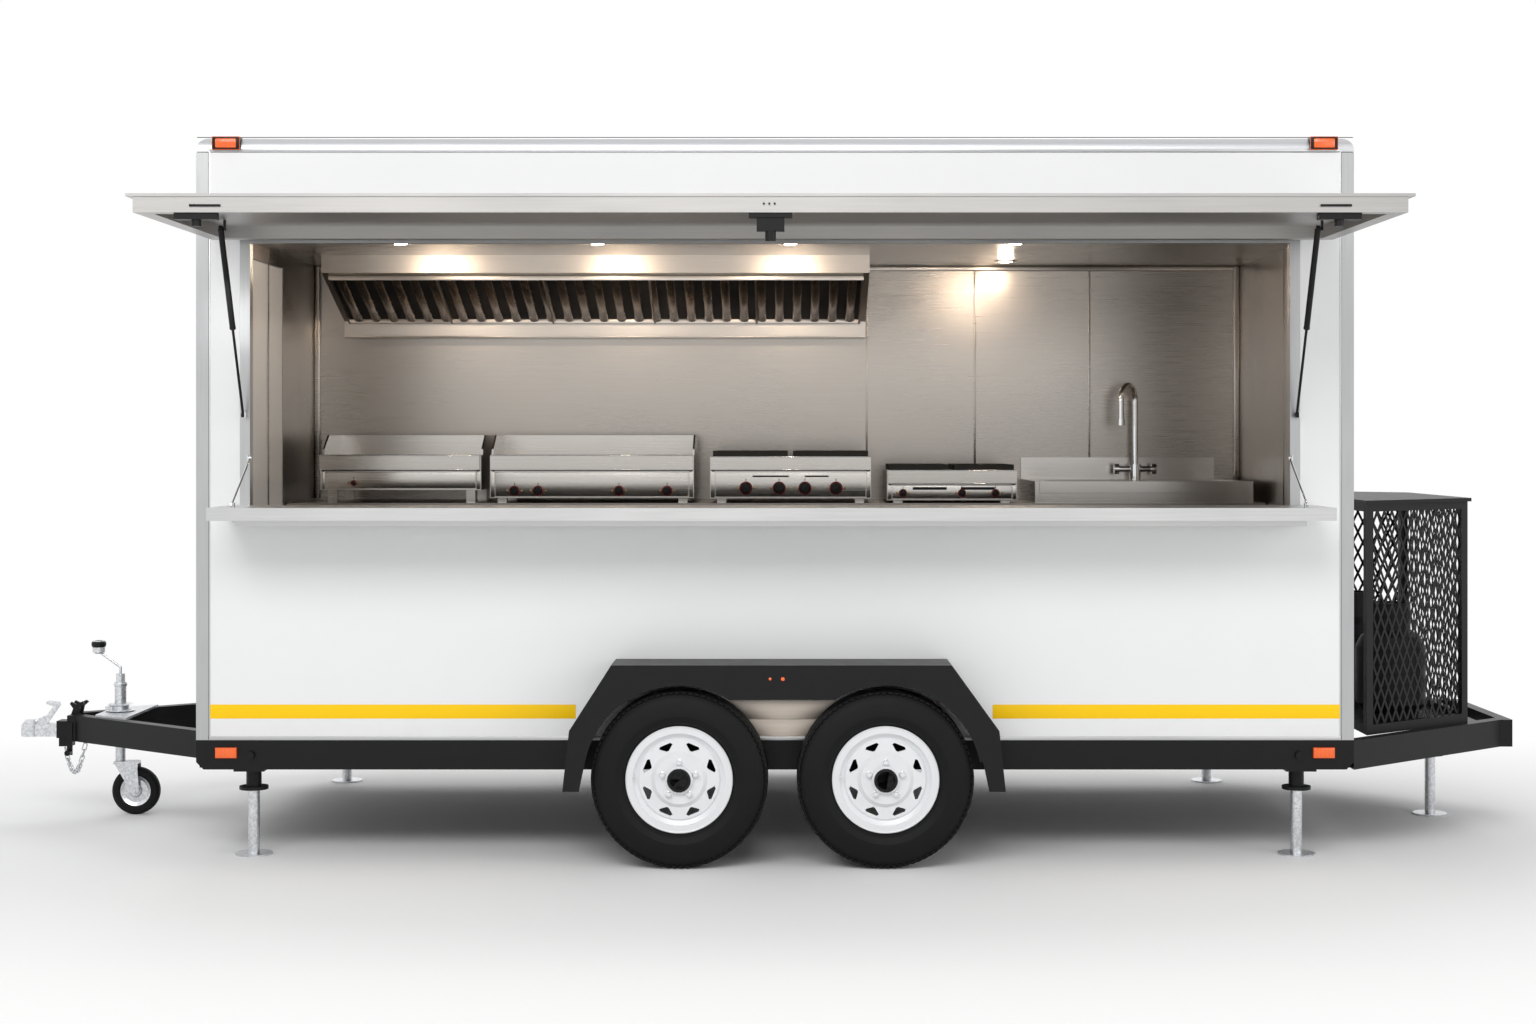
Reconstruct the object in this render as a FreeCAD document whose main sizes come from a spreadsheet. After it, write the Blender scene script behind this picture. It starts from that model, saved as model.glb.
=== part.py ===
# A twin-axle food trailer with its serving hatch and shelf open, in millimetres.
# X runs from the tow hitch to the gas cage, Y away from the serving side, Z up from the ground.
# All sizes below are measured from the middle of the body, and the last step moves every
# sub-part so that the origin lies under the middle of the whole trailer.
import FreeCAD, Part
import math
import os

import Sketcher
from FreeCAD import Placement, Rotation, Vector

os.makedirs("parts", exist_ok=True)
doc = FreeCAD.newDocument("trailer")

# Driving dimensions: name and millimetres.
SIZES = (
    # Where the body's middle lies from the trailer's own origin.
    ("body_centre_x", 97), ("body_centre_y", 430),
    # Body shell.
    ("body_length", 4400), ("body_width", 2000), ("body_bottom", 448), ("panel_top", 2683),
    ("roof_trim_height", 57), ("roof_trim_width", 60), ("roof_edge_radius", 48), ("roof_step", 6),
    ("wall_thickness", 40), ("post_width", 50), ("floor_thickness", 30),
    ("ceiling_height", 2400), ("ceiling_thickness", 20), ("lining_thickness", 3),
    ("vent_x", -800), ("vent_y", 560), ("vent_radius", 150), ("vent_height", 120),
    # Chassis.
    ("rail_height", 112), ("rail_width", 50), ("rail_chamfer", 28),
    ("member_width", 50), ("member_height", 50),
    ("member_outer_x", 1450), ("member_axle_x", 778), ("axle_middle_x", 28),
    # Serving window, its frame, the hatch and its hinge.
    ("window_left", -1995), ("window_right", 1957), ("window_bottom", 1331), ("window_top", 2337),
    ("frame_width", 38), ("frame_proud", 2), ("frame_depth", 50),
    ("hatch_left", -2119), ("hatch_right", 2099), ("hatch_length", 1035), ("hatch_depth", 63),
    ("hatch_skin", 10), ("hatch_lip", 23), ("hatch_rim", 55), ("hatch_floor", 18),
    ("hatch_axis_out", 70), ("hatch_axis_z", 2405), ("hinge_radius", 6), ("hinge_leaf", 5),
    ("running_gap", 0.3),
    # Gas struts of the hatch.
    ("strut_pin_out", 30), ("strut_pin_z", 1683), ("strut_hatch_reach", 297),
    ("strut_hatch_drop", 45), ("strut_tube_radius", 11), ("strut_rod_radius", 5),
    ("strut_tube_length", 400), ("strut_rod_length", 385), ("strut_eye_radius", 9),
    # Serving shelf, hung from lugs below it, with its stays.
    ("shelf_left", -2072), ("shelf_right", 2049), ("shelf_top", 1341), ("shelf_thickness", 47),
    ("shelf_reach", 350), ("shelf_gap", 5), ("under_left", -2003), ("under_right", 1975),
    ("under_depth", 25), ("under_reach", 200), ("shelf_axis_out", 21), ("shelf_axis_drop", 9),
    ("lug_width", 20), ("stay_radius", 4), ("stay_pin_out", 300), ("stay_pin_rise", 11),
    ("stay_top_out", 16), ("stay_top_z", 1520),
    # Wheels.
    ("wheel_front_x", -354), ("wheel_rear_x", 411), ("wheel_radius", 330), ("wheel_outer_y", 1240),
    ("tyre_width", 195), ("bead_radius", 178), ("bead_half_width", 70),
    ("flange_radius", 195), ("rim_thickness", 6), ("rim_well_radius", 152), ("disc_set", 62),
    ("disc_radius", 150), ("hub_radius", 100), ("hub_rise", 14), ("cap_radius", 52),
    ("cap_height", 20), ("stub_radius", 25), ("nut_circle", 65), ("nut_radius", 10),
    ("window_inner", 112), ("window_outer", 138), ("window_half_width", 27),
    # Axles and leaf springs.
    ("beam_size", 60), ("beam_drop", 38), ("beam_half_length", 1001), ("crank_thickness", 20),
    ("spring_y", 860), ("spring_width", 60), ("spring_half", 325), ("spring_rise", 40),
    ("leaf_thickness", 8), ("eye_radius", 18), ("hanger_width", 50),
    # Mudguards.
    ("guard_outer_y", 1250), ("guard_sheet", 4), ("guard_gap", 0), ("guard_arch_radius", 353),
    ("guard_top_z", 757), ("guard_skirt_z", 630), ("guard_front_top", -604),
    ("guard_rear_top", 654), ("guard_front_corner", -759), ("guard_rear_corner", 829),
    ("guard_corner_z", 515), ("guard_front_end", -784), ("guard_rear_end", 853),
    ("guard_end_z", 290), ("guard_leg", 60), ("guard_knee_z", 400),
    # Drawbar and coupling.
    ("drawbar_root_y", 620), ("drawbar_tip_y", 50), ("drawbar_tip_x", -2950),
    ("drawbar_bottom", 318), ("drawbar_height", 109), ("drawbar_half", 31),
    ("nose_length", 35), ("nose_half", 82), ("tongue_end_x", -3045), ("tongue_half", 35),
    ("tongue_bottom", 326), ("tongue_top", 398), ("ball_x", -3162), ("ball_radius", 25.2),
    ("ball_depth", 42), ("coupling_radius", 42), ("coupling_bottom", 332),
    ("coupling_top", 392), ("coupling_half", 33),
    # Jockey wheel.
    ("jockey_x", -2784), ("jockey_tube_radius", 24), ("jockey_leg_radius", 21),
    ("jockey_bottom", 332), ("jockey_top", 560), ("jockey_leg_top", 440),
    ("jockey_leg_bottom", 226), ("jockey_trail", 68), ("jockey_wheel_radius", 100),
    ("jockey_wheel_half", 21), ("jockey_rim_radius", 65), ("fork_gap", 3), ("fork_thickness", 6),
    ("fork_half_width", 18), ("axle_pin_radius", 6), ("crank_x", -2876), ("crank_z", 690),
    ("crank_rod_radius", 6), ("knob_radius", 26), ("knob_height", 46),
    # Corner stands.
    ("stand_x", 2000), ("stand_y", 915), ("stand_leg_radius", 22), ("stand_wall", 7),
    ("stand_socket_bottom", 250), ("stand_socket_top", 441), ("stand_leg_top", 345),
    ("stand_flange_radius", 55), ("stand_flange", 12), ("stand_plate_half", 58),
    ("foot_radius", 71), ("foot_thickness", 6), ("rear_stand_x", 2777),
    # Rear frame, gas cage and cylinders.
    ("frame_end_x", 3010), ("frame_end_y", 320), ("frame_bar", 50), ("frame_bar_slant", 65),
    ("frame_bottom", 335), ("frame_top", 445), ("cage_front_x", 2290), ("cage_front_y", 845),
    ("cage_rear_x", 2800), ("cage_rear_y", 450), ("cage_top", 1340), ("cage_base", 8),
    ("cage_bar", 30), ("cage_mesh_thickness", 3), ("lid_thickness", 14), ("lid_overhang", 12),
    ("lid_axis_out", 13), ("lid_knuckle_radius", 7), ("lid_knuckle_length", 90),
    ("cylinder_x", 2520), ("cylinder_y", 330), ("cylinder_radius", 140),
    ("cylinder_height", 360), ("collar_radius", 80), ("collar_height", 110),
    # Waste tank and lamps.
    ("tank_x", 2030), ("tank_y", 600), ("tank_radius", 115), ("tank_bottom", 290),
    ("lamp_length", 80), ("lamp_height", 39), ("lamp_depth", 14), ("lamp_x", 2084),
    ("lamp_z", 401), ("roof_lamp_length", 106), ("roof_lamp_height", 50), ("knob_x", 1990),
    ("knob_z", 391), ("rail_knob_radius", 14), ("rail_knob_depth", 18),
    # Front door.
    ("door_near_y", -382), ("door_far_y", 272), ("door_bottom", 482), ("door_top", 2332),
    ("door_gap", 5), ("door_axis_out", 7), ("door_knuckle_radius", 7), ("door_knuckle_length", 110),
    ("door_strap", 3), ("door_strap_length", 60),
    # Benches, hood and the kitchen on the back bench.
    ("bench_top", 1310), ("bench_front_y", 330), ("bench_half_length", 2150),
    ("counter_back_y", -420), ("counter_top", 1291), ("hood_left", -2000), ("hood_right", 410),
    ("hood_front_y", 330), ("hood_lip_z", 2322), ("hood_rear_y", 850), ("hood_gutter_top", 2135),
    ("hood_bottom", 2062), ("baffle_width", 34), ("baffle_depth", 16),
    ("baffle_plate", 4), ("baffle_margin", 30), ("baffle_count", 30),
    ("sink_left", 1139), ("sink_right", 2100), ("sink_height", 95),
    ("tap_x", 1659), ("tap_y", 860), ("tap_bend", 70), ("tap_pipe", 14), ("tap_rise", 363),
    ("tap_drop", 108), ("tap_turn", 54),
    # Diamond mesh of the cage.
    ("diamond_pitch", 94), ("diamond_height", 190), ("strand_width", 14),
)

sheet = doc.addObject("Spreadsheet::Sheet", "Sizes")


class Size:
    """A length kept as a formula of the sheet's cells together with its value."""

    def __init__(self, text, value):
        self.text = text
        self.value = value

    def __float__(self):
        return float(self.value)

    def __add__(self, other):
        return Size(f"({self.text} + {text_of(other)})", self.value + float(other))

    def __radd__(self, other):
        return Size(f"({text_of(other)} + {self.text})", float(other) + self.value)

    def __sub__(self, other):
        return Size(f"({self.text} - {text_of(other)})", self.value - float(other))

    def __rsub__(self, other):
        return Size(f"({text_of(other)} - {self.text})", float(other) - self.value)

    def __mul__(self, other):
        return Size(f"({self.text} * {text_of(other)})", self.value * float(other))

    def __rmul__(self, other):
        return Size(f"({text_of(other)} * {self.text})", float(other) * self.value)

    def __truediv__(self, other):
        return Size(f"({self.text} / {text_of(other)})", self.value / float(other))

    def __neg__(self):
        return Size(f"(0 - {self.text})", -self.value)

    def __lt__(self, other):
        return self.value < float(other)


def text_of(length):
    """The formula of a length, or a plain number as text."""
    return length.text if isinstance(length, Size) else repr(float(length))


class Drawing:
    """Holds every driving dimension as an attribute of its own name."""


at = Drawing()
for row, (name, number) in enumerate(SIZES, start=1):
    sheet.set(f"A{row}", name)
    sheet.set(f"B{row}", str(number))
    sheet.setAlias(f"B{row}", name)
doc.recompute()
for name, number in SIZES:
    setattr(at, name, Size(f"Sizes.{name}", float(sheet.get(name))))


def bind(thing, **properties):
    """Tie properties of an object to lengths of the sheet."""
    for name, length in properties.items():
        if isinstance(length, Size):
            thing.setExpression(name, length.text)
        else:
            setattr(thing, name, length)


def put(thing, x, y, z, turn=None):
    """Place an object by three lengths, turned if asked."""
    thing.Placement = Placement(Vector(float(x), float(y), float(z)), turn or Rotation())
    for axis, length in (("x", x), ("y", y), ("z", z)):
        if isinstance(length, Size):
            thing.setExpression(f"Placement.Base.{axis}", length.text)
    return thing


def span(one, other):
    """A pair of lengths, the lower one first."""
    return (other, one) if float(other) < float(one) else (one, other)


def box(x, y, z):
    """A block between pairs of lengths."""
    thing = doc.addObject("Part::Box", "Block")
    (x0, x1), (y0, y1), (z0, z1) = span(*x), span(*y), span(*z)
    bind(thing, Length=x1 - x0, Width=y1 - y0, Height=z1 - z0)
    return put(thing, x0, y0, z0)


ALONG = {"x": Rotation(Vector(0, 1, 0), 90), "y": Rotation(Vector(1, 0, 0), -90), "z": Rotation()}


def rod(axis, centre, ends, radius):
    """A round bar along an axis: its centre in the other two axes, and its two ends."""
    thing = doc.addObject("Part::Cylinder", "Bar")
    low, high = span(*ends)
    bind(thing, Radius=radius, Height=high - low)
    place = {"x": (low, centre[0], centre[-1]), "y": (centre[0], low, centre[-1]),
             "z": (centre[0], centre[-1], low)}[axis]
    return put(thing, *place, turn=ALONG[axis])


def cut(base, *tools):
    """The base with the tools taken away."""
    thing = doc.addObject("Part::Cut", "Cut")
    thing.Base = base
    if len(tools) == 1:
        thing.Tool = tools[0]
    else:
        group = doc.addObject("Part::Compound", "Tools")
        group.Links = list(tools)
        thing.Tool = group
    return thing


def fuse(*pieces):
    """The pieces joined to one solid."""
    thing = doc.addObject("Part::MultiFuse", "Joined")
    thing.Shapes = list(pieces)
    thing.Refine = True
    return thing


def solid(shape, name="Form"):
    """A form made with the geometry functions, as an object of the document."""
    thing = doc.addObject("Part::Feature", name)
    thing.Shape = shape
    return thing


def origin_plane(body, role):
    """One of the body's own origin planes."""
    return [plane for plane in body.Origin.OriginFeatures if plane.Role == role][0]


def outline(body, role, points):
    """A closed sketch of straight lines whose corners are tied to the sheet."""
    sketch = body.newObject("Sketcher::SketchObject", "Outline")
    sketch.AttachmentSupport = [(origin_plane(body, role), "")]
    sketch.MapMode = "FlatFace"
    corners = [Vector(float(u), float(v), 0) for u, v in points]
    count = len(corners)
    for index in range(count):
        sketch.addGeometry(Part.LineSegment(corners[index], corners[(index + 1) % count]))
    for index in range(count):
        sketch.addConstraint(Sketcher.Constraint("Coincident", index, 2, (index + 1) % count, 1))
    for index, lengths in enumerate(points):
        for kind, length in zip(("DistanceX", "DistanceY"), lengths):
            number = sketch.addConstraint(
                Sketcher.Constraint(kind, -1, 1, index, 1, float(length)))
            if isinstance(length, Size):
                sketch.setExpression(f"Constraints[{number}]", length.text)
    return sketch


def prism(role, points, ends):
    """A body padded from an outline: XY pads up, XZ pads along Y, YZ pads along X."""
    body = doc.addObject("PartDesign::Body", "Prism")
    sketch = outline(body, role, points)
    pad = body.newObject("PartDesign::Pad", "Pad")
    pad.Profile = sketch
    low, high = span(*ends)
    bind(pad, Length=high - low)
    sketch.Visibility = False
    start = {"XY_Plane": (0, 0, low), "XZ_Plane": (0, high, 0), "YZ_Plane": (low, 0, 0)}[role]
    return put(body, *start)


SUBPARTS = []
FORMS = {}


def node(label, *pieces, turn=None, spot=(0, 0, 0)):
    """A named sub-part of one or more solids, moved to the trailer's own origin."""
    thing = doc.addObject("Part::Compound", "Subpart")
    thing.Links = list(pieces)
    thing.Label = label
    x, y, z = spot
    put(thing, at.body_centre_x + x, at.body_centre_y + y, z, turn)
    SUBPARTS.append(thing)
    return thing


front, rear = -at.body_length / 2, at.body_length / 2
near, far = -at.body_width / 2, at.body_width / 2
rail_bottom = at.body_bottom - at.rail_height
inner_front, inner_rear = front + at.wall_thickness, rear - at.wall_thickness
inner_near, inner_far = near + at.wall_thickness, far - at.wall_thickness
floor_top = at.body_bottom + at.floor_thickness


def chassis():
    """Two side rails with cut corners, and the members between them."""
    rails = []
    for side in (-1, 1):
        corners = ((front, at.body_bottom), (rear, at.body_bottom),
                   (rear, rail_bottom + at.rail_chamfer), (rear - at.rail_chamfer, rail_bottom),
                   (front + at.rail_chamfer, rail_bottom), (front, rail_bottom + at.rail_chamfer))
        outer = side * at.body_width / 2
        rail = prism("XZ_Plane", corners, (outer, outer - side * at.rail_width))
        rails.append(fuse(rail, *spring_hangers(side)))
    node("side_rails", *rails)

    across = (near + at.rail_width, far - at.rail_width)
    top = at.body_bottom
    members = [box((front, front + at.member_width), across, (rail_bottom, top)),
               box((rear - at.member_width, rear), across, (rail_bottom, top))]
    for x in (-at.member_outer_x, at.axle_middle_x - at.member_axle_x, at.axle_middle_x,
              at.axle_middle_x + at.member_axle_x, at.member_outer_x):
        members.append(box((x - at.member_width / 2, x + at.member_width / 2), across,
                           (top - at.member_height, top)))
    stand_x = at.rear_stand_x + at.stand_leg_radius + at.stand_wall
    cross_end = stand_x + at.frame_bar
    height = (at.frame_bottom, at.frame_top)
    members.append(trapezoid(stand_x, cross_end, frame_side(stand_x) - at.frame_bar_slant,
                             frame_side(cross_end) - at.frame_bar_slant, height))
    end_x = at.frame_end_x - at.frame_bar
    side_y = frame_side(end_x)
    members.append(box((end_x, at.frame_end_x), (-side_y, side_y), height))
    node("cross_members", *members)


def slanted_bar(x0, y0, x1, y1, half, z, side):
    """A bar seen from above between two stations, with its ends square to X."""
    corners = ((x0, side * (y0 + half)), (x0, side * (y0 - half)),
               (x1, side * (y1 - half)), (x1, side * (y1 + half)))
    return prism("XY_Plane", corners, z)


def drawbar():
    """The A-frame, its nose with the tongue and hooks, and the coupling on the tongue."""
    height = (at.drawbar_bottom, at.drawbar_bottom + at.drawbar_height)
    bars = [slanted_bar(front, at.drawbar_root_y, at.drawbar_tip_x, at.drawbar_tip_y,
                        at.drawbar_half, height, side) for side in (-1, 1)]
    node("drawbar_rails", *bars)

    nose_x = at.drawbar_tip_x - at.nose_length
    pieces = [box((nose_x, at.drawbar_tip_x), (-at.nose_half, at.nose_half), height),
              box((at.tongue_end_x, nose_x + 1), (-at.tongue_half, at.tongue_half),
                  (at.tongue_bottom, at.tongue_top)),
              box((at.tongue_end_x + 8, nose_x), (-28, 28), (at.tongue_bottom - 36,
                                                             at.tongue_bottom + 1)),
              box((nose_x + 2, nose_x + 24), (-at.nose_half - 8, -at.nose_half),
                  (at.drawbar_bottom - 56, at.tongue_top)),
              rod("y", (nose_x + 13, at.drawbar_bottom - 44), (-at.nose_half - 40,
                                                               -at.nose_half - 7), 12)]
    for y in (-34, 22):
        hook = ((nose_x + 1, height[1] - 1), (nose_x + 33, height[1] - 1),
                (nose_x + 40, height[1] + 30), (nose_x + 58, height[1] + 46),
                (nose_x + 48, height[1] + 54), (nose_x + 22, height[1] + 42),
                (nose_x + 2, height[1] + 52), (nose_x - 4, height[1] + 44),
                (nose_x + 10, height[1] + 24))
        pieces.append(prism("XZ_Plane", hook, (y, y + 12)))
    node("drawbar_nose", fuse(*pieces))

    top = at.coupling_top
    channel = box((at.ball_x, at.tongue_end_x), (-at.coupling_half, at.coupling_half),
                  (at.coupling_bottom, top - 8))
    drum = rod("z", (at.ball_x, 0), (at.coupling_bottom, top - 14), at.coupling_radius)
    dome = doc.addObject("Part::Cone", "Dome")
    bind(dome, Radius1=at.coupling_radius, Radius2=at.coupling_radius * 0.55, Height=22)
    put(dome, at.ball_x, 0, top - 14)
    lever = ((at.ball_x + 30, top - 12), (at.ball_x + 66, top - 12), (at.ball_x + 88, top + 22),
             (at.ball_x + 122, top + 70), (at.ball_x + 116, top + 84), (at.ball_x + 70, top + 88),
             (at.ball_x + 66, top + 76), (at.ball_x + 96, top + 66), (at.ball_x + 70, top + 30),
             (at.ball_x + 34, top + 14))
    body = fuse(channel, drum, dome, prism("XZ_Plane", lever, (-14, 14)))
    socket = rod("z", (at.ball_x, 0), (at.coupling_bottom, at.coupling_bottom + at.ball_depth),
                 at.ball_radius)
    node("coupling", cut(body, socket))


def jockey():
    """The jockey wheel: outer tube with crank on its plate, leg, castor fork and wheel."""
    top = at.drawbar_bottom + at.drawbar_height
    x = at.jockey_x
    plate_corners = ((x - 66, -130), (x + 94, -235), (x + 94, 235), (x - 66, 130))
    plate = prism("XY_Plane", plate_corners, (top, top + 10))
    tube = rod("z", (x, 0), (at.jockey_bottom, at.jockey_top), at.jockey_tube_radius)
    collar = rod("z", (x, 0), (top, top + 34), at.jockey_tube_radius + 11)
    clamp = box((x - 60, x), (-16, 16), (top, top + 30))
    cap = rod("z", (x, 0), (at.jockey_top - 1, at.jockey_top + 36), at.jockey_tube_radius - 5)
    bore = rod("z", (x, 0), (at.jockey_bottom, at.jockey_top - 14),
               at.jockey_leg_radius + at.running_gap)
    crank = solid(bent_rod([(x, 0, at.jockey_top + 20), (x, 0, at.jockey_top + 64),
                            (at.crank_x, 0, at.crank_z)], at.crank_rod_radius))
    knob = rod("z", (at.crank_x, 0), (at.crank_z - 4, at.crank_z + at.knob_height), at.knob_radius)
    body = cut(fuse(plate, tube, collar, clamp, cap, crank, knob), bore)
    node("jockey_housing", body)

    leg = rod("z", (x, 0), (at.jockey_leg_bottom, at.jockey_leg_top), at.jockey_leg_radius)
    node("jockey_leg", leg)

    wheel_x = x + at.jockey_trail
    wheel_z = at.jockey_wheel_radius
    crown_top = at.jockey_leg_bottom - at.running_gap
    inner = at.jockey_wheel_half + at.fork_gap
    outer = inner + at.fork_thickness
    half = at.fork_half_width
    crown = box((x - 22, wheel_x + 10), (-outer, outer), (crown_top - 12, crown_top))
    arms = []
    for side in (-1, 1):
        arm = ((x - 22, crown_top), (wheel_x + 10, crown_top), (wheel_x + half, wheel_z),
               (wheel_x, wheel_z - half), (wheel_x - half, wheel_z))
        arms.append(prism("XZ_Plane", arm, (side * inner, side * outer)))
    pin = rod("y", (wheel_x, wheel_z), (-outer - 4, outer + 4), at.axle_pin_radius)
    node("jockey_fork", fuse(crown, arms[0], arms[1], pin))

    profile = ((at.jockey_wheel_half * -0.75, at.jockey_rim_radius - 1),
               (at.jockey_wheel_half * -1, at.jockey_rim_radius + 8),
               (at.jockey_wheel_half * -1, at.jockey_wheel_radius - 12),
               (at.jockey_wheel_half * -0.55, at.jockey_wheel_radius),
               (at.jockey_wheel_half * 0.55, at.jockey_wheel_radius),
               (at.jockey_wheel_half * 1, at.jockey_wheel_radius - 12),
               (at.jockey_wheel_half * 1, at.jockey_rim_radius + 8),
               (at.jockey_wheel_half * 0.75, at.jockey_rim_radius - 1))
    hub = at.axle_pin_radius + at.running_gap
    rim = ((-at.jockey_wheel_half + 1, hub), (-at.jockey_wheel_half + 1, 22), (-9, 28), (-9, 50),
           (at.jockey_wheel_half * -0.75, at.jockey_rim_radius - 1),
           (at.jockey_wheel_half * 0.75, at.jockey_rim_radius - 1),
           (9, 50), (9, 28), (at.jockey_wheel_half - 1, 22), (at.jockey_wheel_half - 1, hub))
    for label, points in (("jockey_tyre", profile), ("jockey_rim", rim)):
        body = turned(points)
        put(body, wheel_x, 0, wheel_z)
        node(label, body)


def bent_rod(points, radius):
    """A round rod through points, with a ball at each bend."""
    places = [Vector(*(float(length) for length in point)) for point in points]
    shape = None
    for start, end in zip(places, places[1:]):
        piece = Part.makeCylinder(float(radius), (end - start).Length, start, end - start)
        shape = piece if shape is None else shape.fuse(piece)
    for place in places[1:]:
        shape = shape.fuse(Part.makeSphere(float(radius), place))
    return shape.removeSplitter()


def turned(points):
    """A body turned round the Y axis from an outline of (width, radius) corners."""
    body = doc.addObject("PartDesign::Body", "Turned")
    sketch = outline(body, "YZ_Plane", points)
    spin = body.newObject("PartDesign::Revolution", "Spin")
    spin.Profile = sketch
    spin.ReferenceAxis = (sketch, ["H_Axis"])
    spin.Angle = 360
    sketch.Visibility = False
    return body


# The four wheels: name, place along the trailer and side.
WHEELS = (("near_front", at.wheel_front_x, -1), ("near_rear", at.wheel_rear_x, -1),
          ("far_front", at.wheel_front_x, 1), ("far_rear", at.wheel_rear_x, 1))


def wheels():
    """A tyre and a steel rim with eight windows for each wheel, outer side to -Y."""
    half = at.tyre_width / 2
    tread = at.wheel_radius
    tyre = ((-at.bead_half_width, at.bead_radius), (-at.bead_half_width, at.flange_radius + 4),
            (-half * 0.92, at.flange_radius + 22), (-half, at.wheel_radius - 68),
            (-half * 0.96, at.wheel_radius - 36), (-half + 16, at.wheel_radius - 10),
            (-half + 34, tread), (half - 34, tread), (half - 16, at.wheel_radius - 10),
            (half * 0.96, at.wheel_radius - 36), (half, at.wheel_radius - 68),
            (half * 0.92, at.flange_radius + 22), (at.bead_half_width, at.flange_radius + 4),
            (at.bead_half_width, at.bead_radius))
    edge = at.bead_half_width + at.rim_thickness
    bead = at.bead_radius - at.running_gap
    inside = bead - at.rim_thickness
    well = at.rim_well_radius
    bore = at.stub_radius + 0.5
    disc = -at.disc_set
    thick = at.rim_thickness
    rim = ((-edge, at.flange_radius), (-at.bead_half_width - 0.3, at.flange_radius),
           (-at.bead_half_width - 0.3, bead), (-34, bead), (-26, well + thick),
           (20, well + thick), (34, bead), (at.bead_half_width + 0.3, bead),
           (at.bead_half_width + 0.3, at.flange_radius), (edge, at.flange_radius),
           (edge, inside), (32, inside), (20, well), (disc + 22, well),
           (disc + thick + 2, at.disc_radius), (disc + thick + 4, at.hub_radius + 8),
           (disc - at.hub_rise + thick, at.hub_radius - 6), (disc - at.hub_rise + thick, 56),
           (10, 50), (10, bore), (disc - at.hub_rise - 2, bore),
           (disc - at.hub_rise - 2, 0), (disc - at.hub_rise - at.cap_height, 0),
           (disc - at.hub_rise - at.cap_height, at.cap_radius - 8),
           (disc - at.hub_rise - at.cap_height + 8, at.cap_radius),
           (disc - at.hub_rise, at.cap_radius), (disc - at.hub_rise, at.hub_radius - 10),
           (disc - 2, at.hub_radius + 4), (disc, at.disc_radius - 2),
           (disc + 6, at.rim_well_radius + thick * 0.4), (-edge + 12, inside), (-edge, inside))
    for name, x, side in WHEELS:
        tyre_body = turned(tyre)
        turn = Rotation(Vector(0, 0, 1), 0 if side < 0 else 180)
        centre_y = side * (at.wheel_outer_y - half)
        put(tyre_body, x, centre_y, at.wheel_radius, turn)
        node("tyre_" + name, tyre_body)

        rim_body = turned(rim)
        holes = doc.addObject("Part::Feature", "Windows")
        holes.Shape = Part.makeCompound(wheel_windows())
        nuts = doc.addObject("Part::Feature", "Nuts")
        nuts.Shape = Part.makeCompound(wheel_nuts())
        whole = fuse(cut(rim_body, holes), nuts)
        put(whole, x, centre_y, at.wheel_radius, turn)
        node("rim_" + name, whole)


def wheel_windows():
    """Eight rounded triangles, pointing at the hub, cut through the disc."""
    inner, outer, half = (float(at.window_inner), float(at.window_outer),
                          float(at.window_half_width))
    low = -float(at.disc_set) - float(at.hub_rise) - 4
    tip = 4.0
    face = Part.Face(Part.makePolygon([
        Vector(-tip, low, inner), Vector(tip, low, inner), Vector(half, low, outer - 8),
        Vector(half - 6, low, outer), Vector(-half + 6, low, outer),
        Vector(-half, low, outer - 8), Vector(-tip, low, inner)]))
    window = face.extrude(Vector(0, 44, 0))
    windows = []
    for index in range(8):
        turned_one = window.copy()
        turned_one.rotate(Vector(0, 0, 0), Vector(0, 1, 0), 22.5 + 45 * index)
        windows.append(turned_one)
    return windows


def wheel_nuts():
    """Five wheel nuts round the hub cap."""
    nuts = []
    circle = float(at.nut_circle)
    face_y = -float(at.disc_set) - float(at.hub_rise)
    for index in range(5):
        angle = math.radians(90 + 72 * index)
        place = Vector(circle * math.cos(angle), face_y + 2, circle * math.sin(angle))
        nuts.append(Part.makeCylinder(float(at.nut_radius), 16, place, Vector(0, -1, 0)))
    return nuts


def axles():
    """Two dropped beams, cranked up to the stubs that the wheels turn on."""
    pieces = []
    beam_top = at.wheel_radius - at.beam_drop + at.beam_size / 2
    beam_bottom = beam_top - at.beam_size
    stub_end = at.wheel_outer_y - at.tyre_width / 2 + at.disc_set + at.hub_rise
    for x in (at.wheel_front_x, at.wheel_rear_x):
        half = at.beam_size / 2
        beam = box((x - half, x + half), (-at.beam_half_length, at.beam_half_length),
                   (beam_bottom, beam_top))
        group = [beam]
        for side in (-1, 1):
            start = side * (at.beam_half_length - 1)
            end = side * (at.beam_half_length + at.crank_thickness)
            group.append(box((x - half, x + half), (start, end),
                             (beam_bottom, at.wheel_radius + at.stub_radius + 5)))
            group.append(rod("y", (x, at.wheel_radius), (end - side, side * stub_end),
                             at.stub_radius))
        pieces.append(fuse(*group))
    node("axles", *pieces)


def leaf_profile(radius_low, thickness, half_length, centre_z):
    """The side view of one bowed leaf, as two arcs round a centre above it."""
    angle = math.asin(half_length / radius_low)

    def point(radius, turn):
        return Vector(radius * math.sin(turn), 0, centre_z - radius * math.cos(turn))

    outer, inner = radius_low, radius_low - thickness
    edges = [Part.Arc(point(outer, -angle), point(outer, 0), point(outer, angle)).toShape(),
             Part.LineSegment(point(outer, angle), point(inner, angle)).toShape(),
             Part.Arc(point(inner, angle), point(inner, 0), point(inner, -angle)).toShape(),
             Part.LineSegment(point(inner, -angle), point(outer, -angle)).toShape()]
    return Part.Face(Part.Wire(edges))


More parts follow.
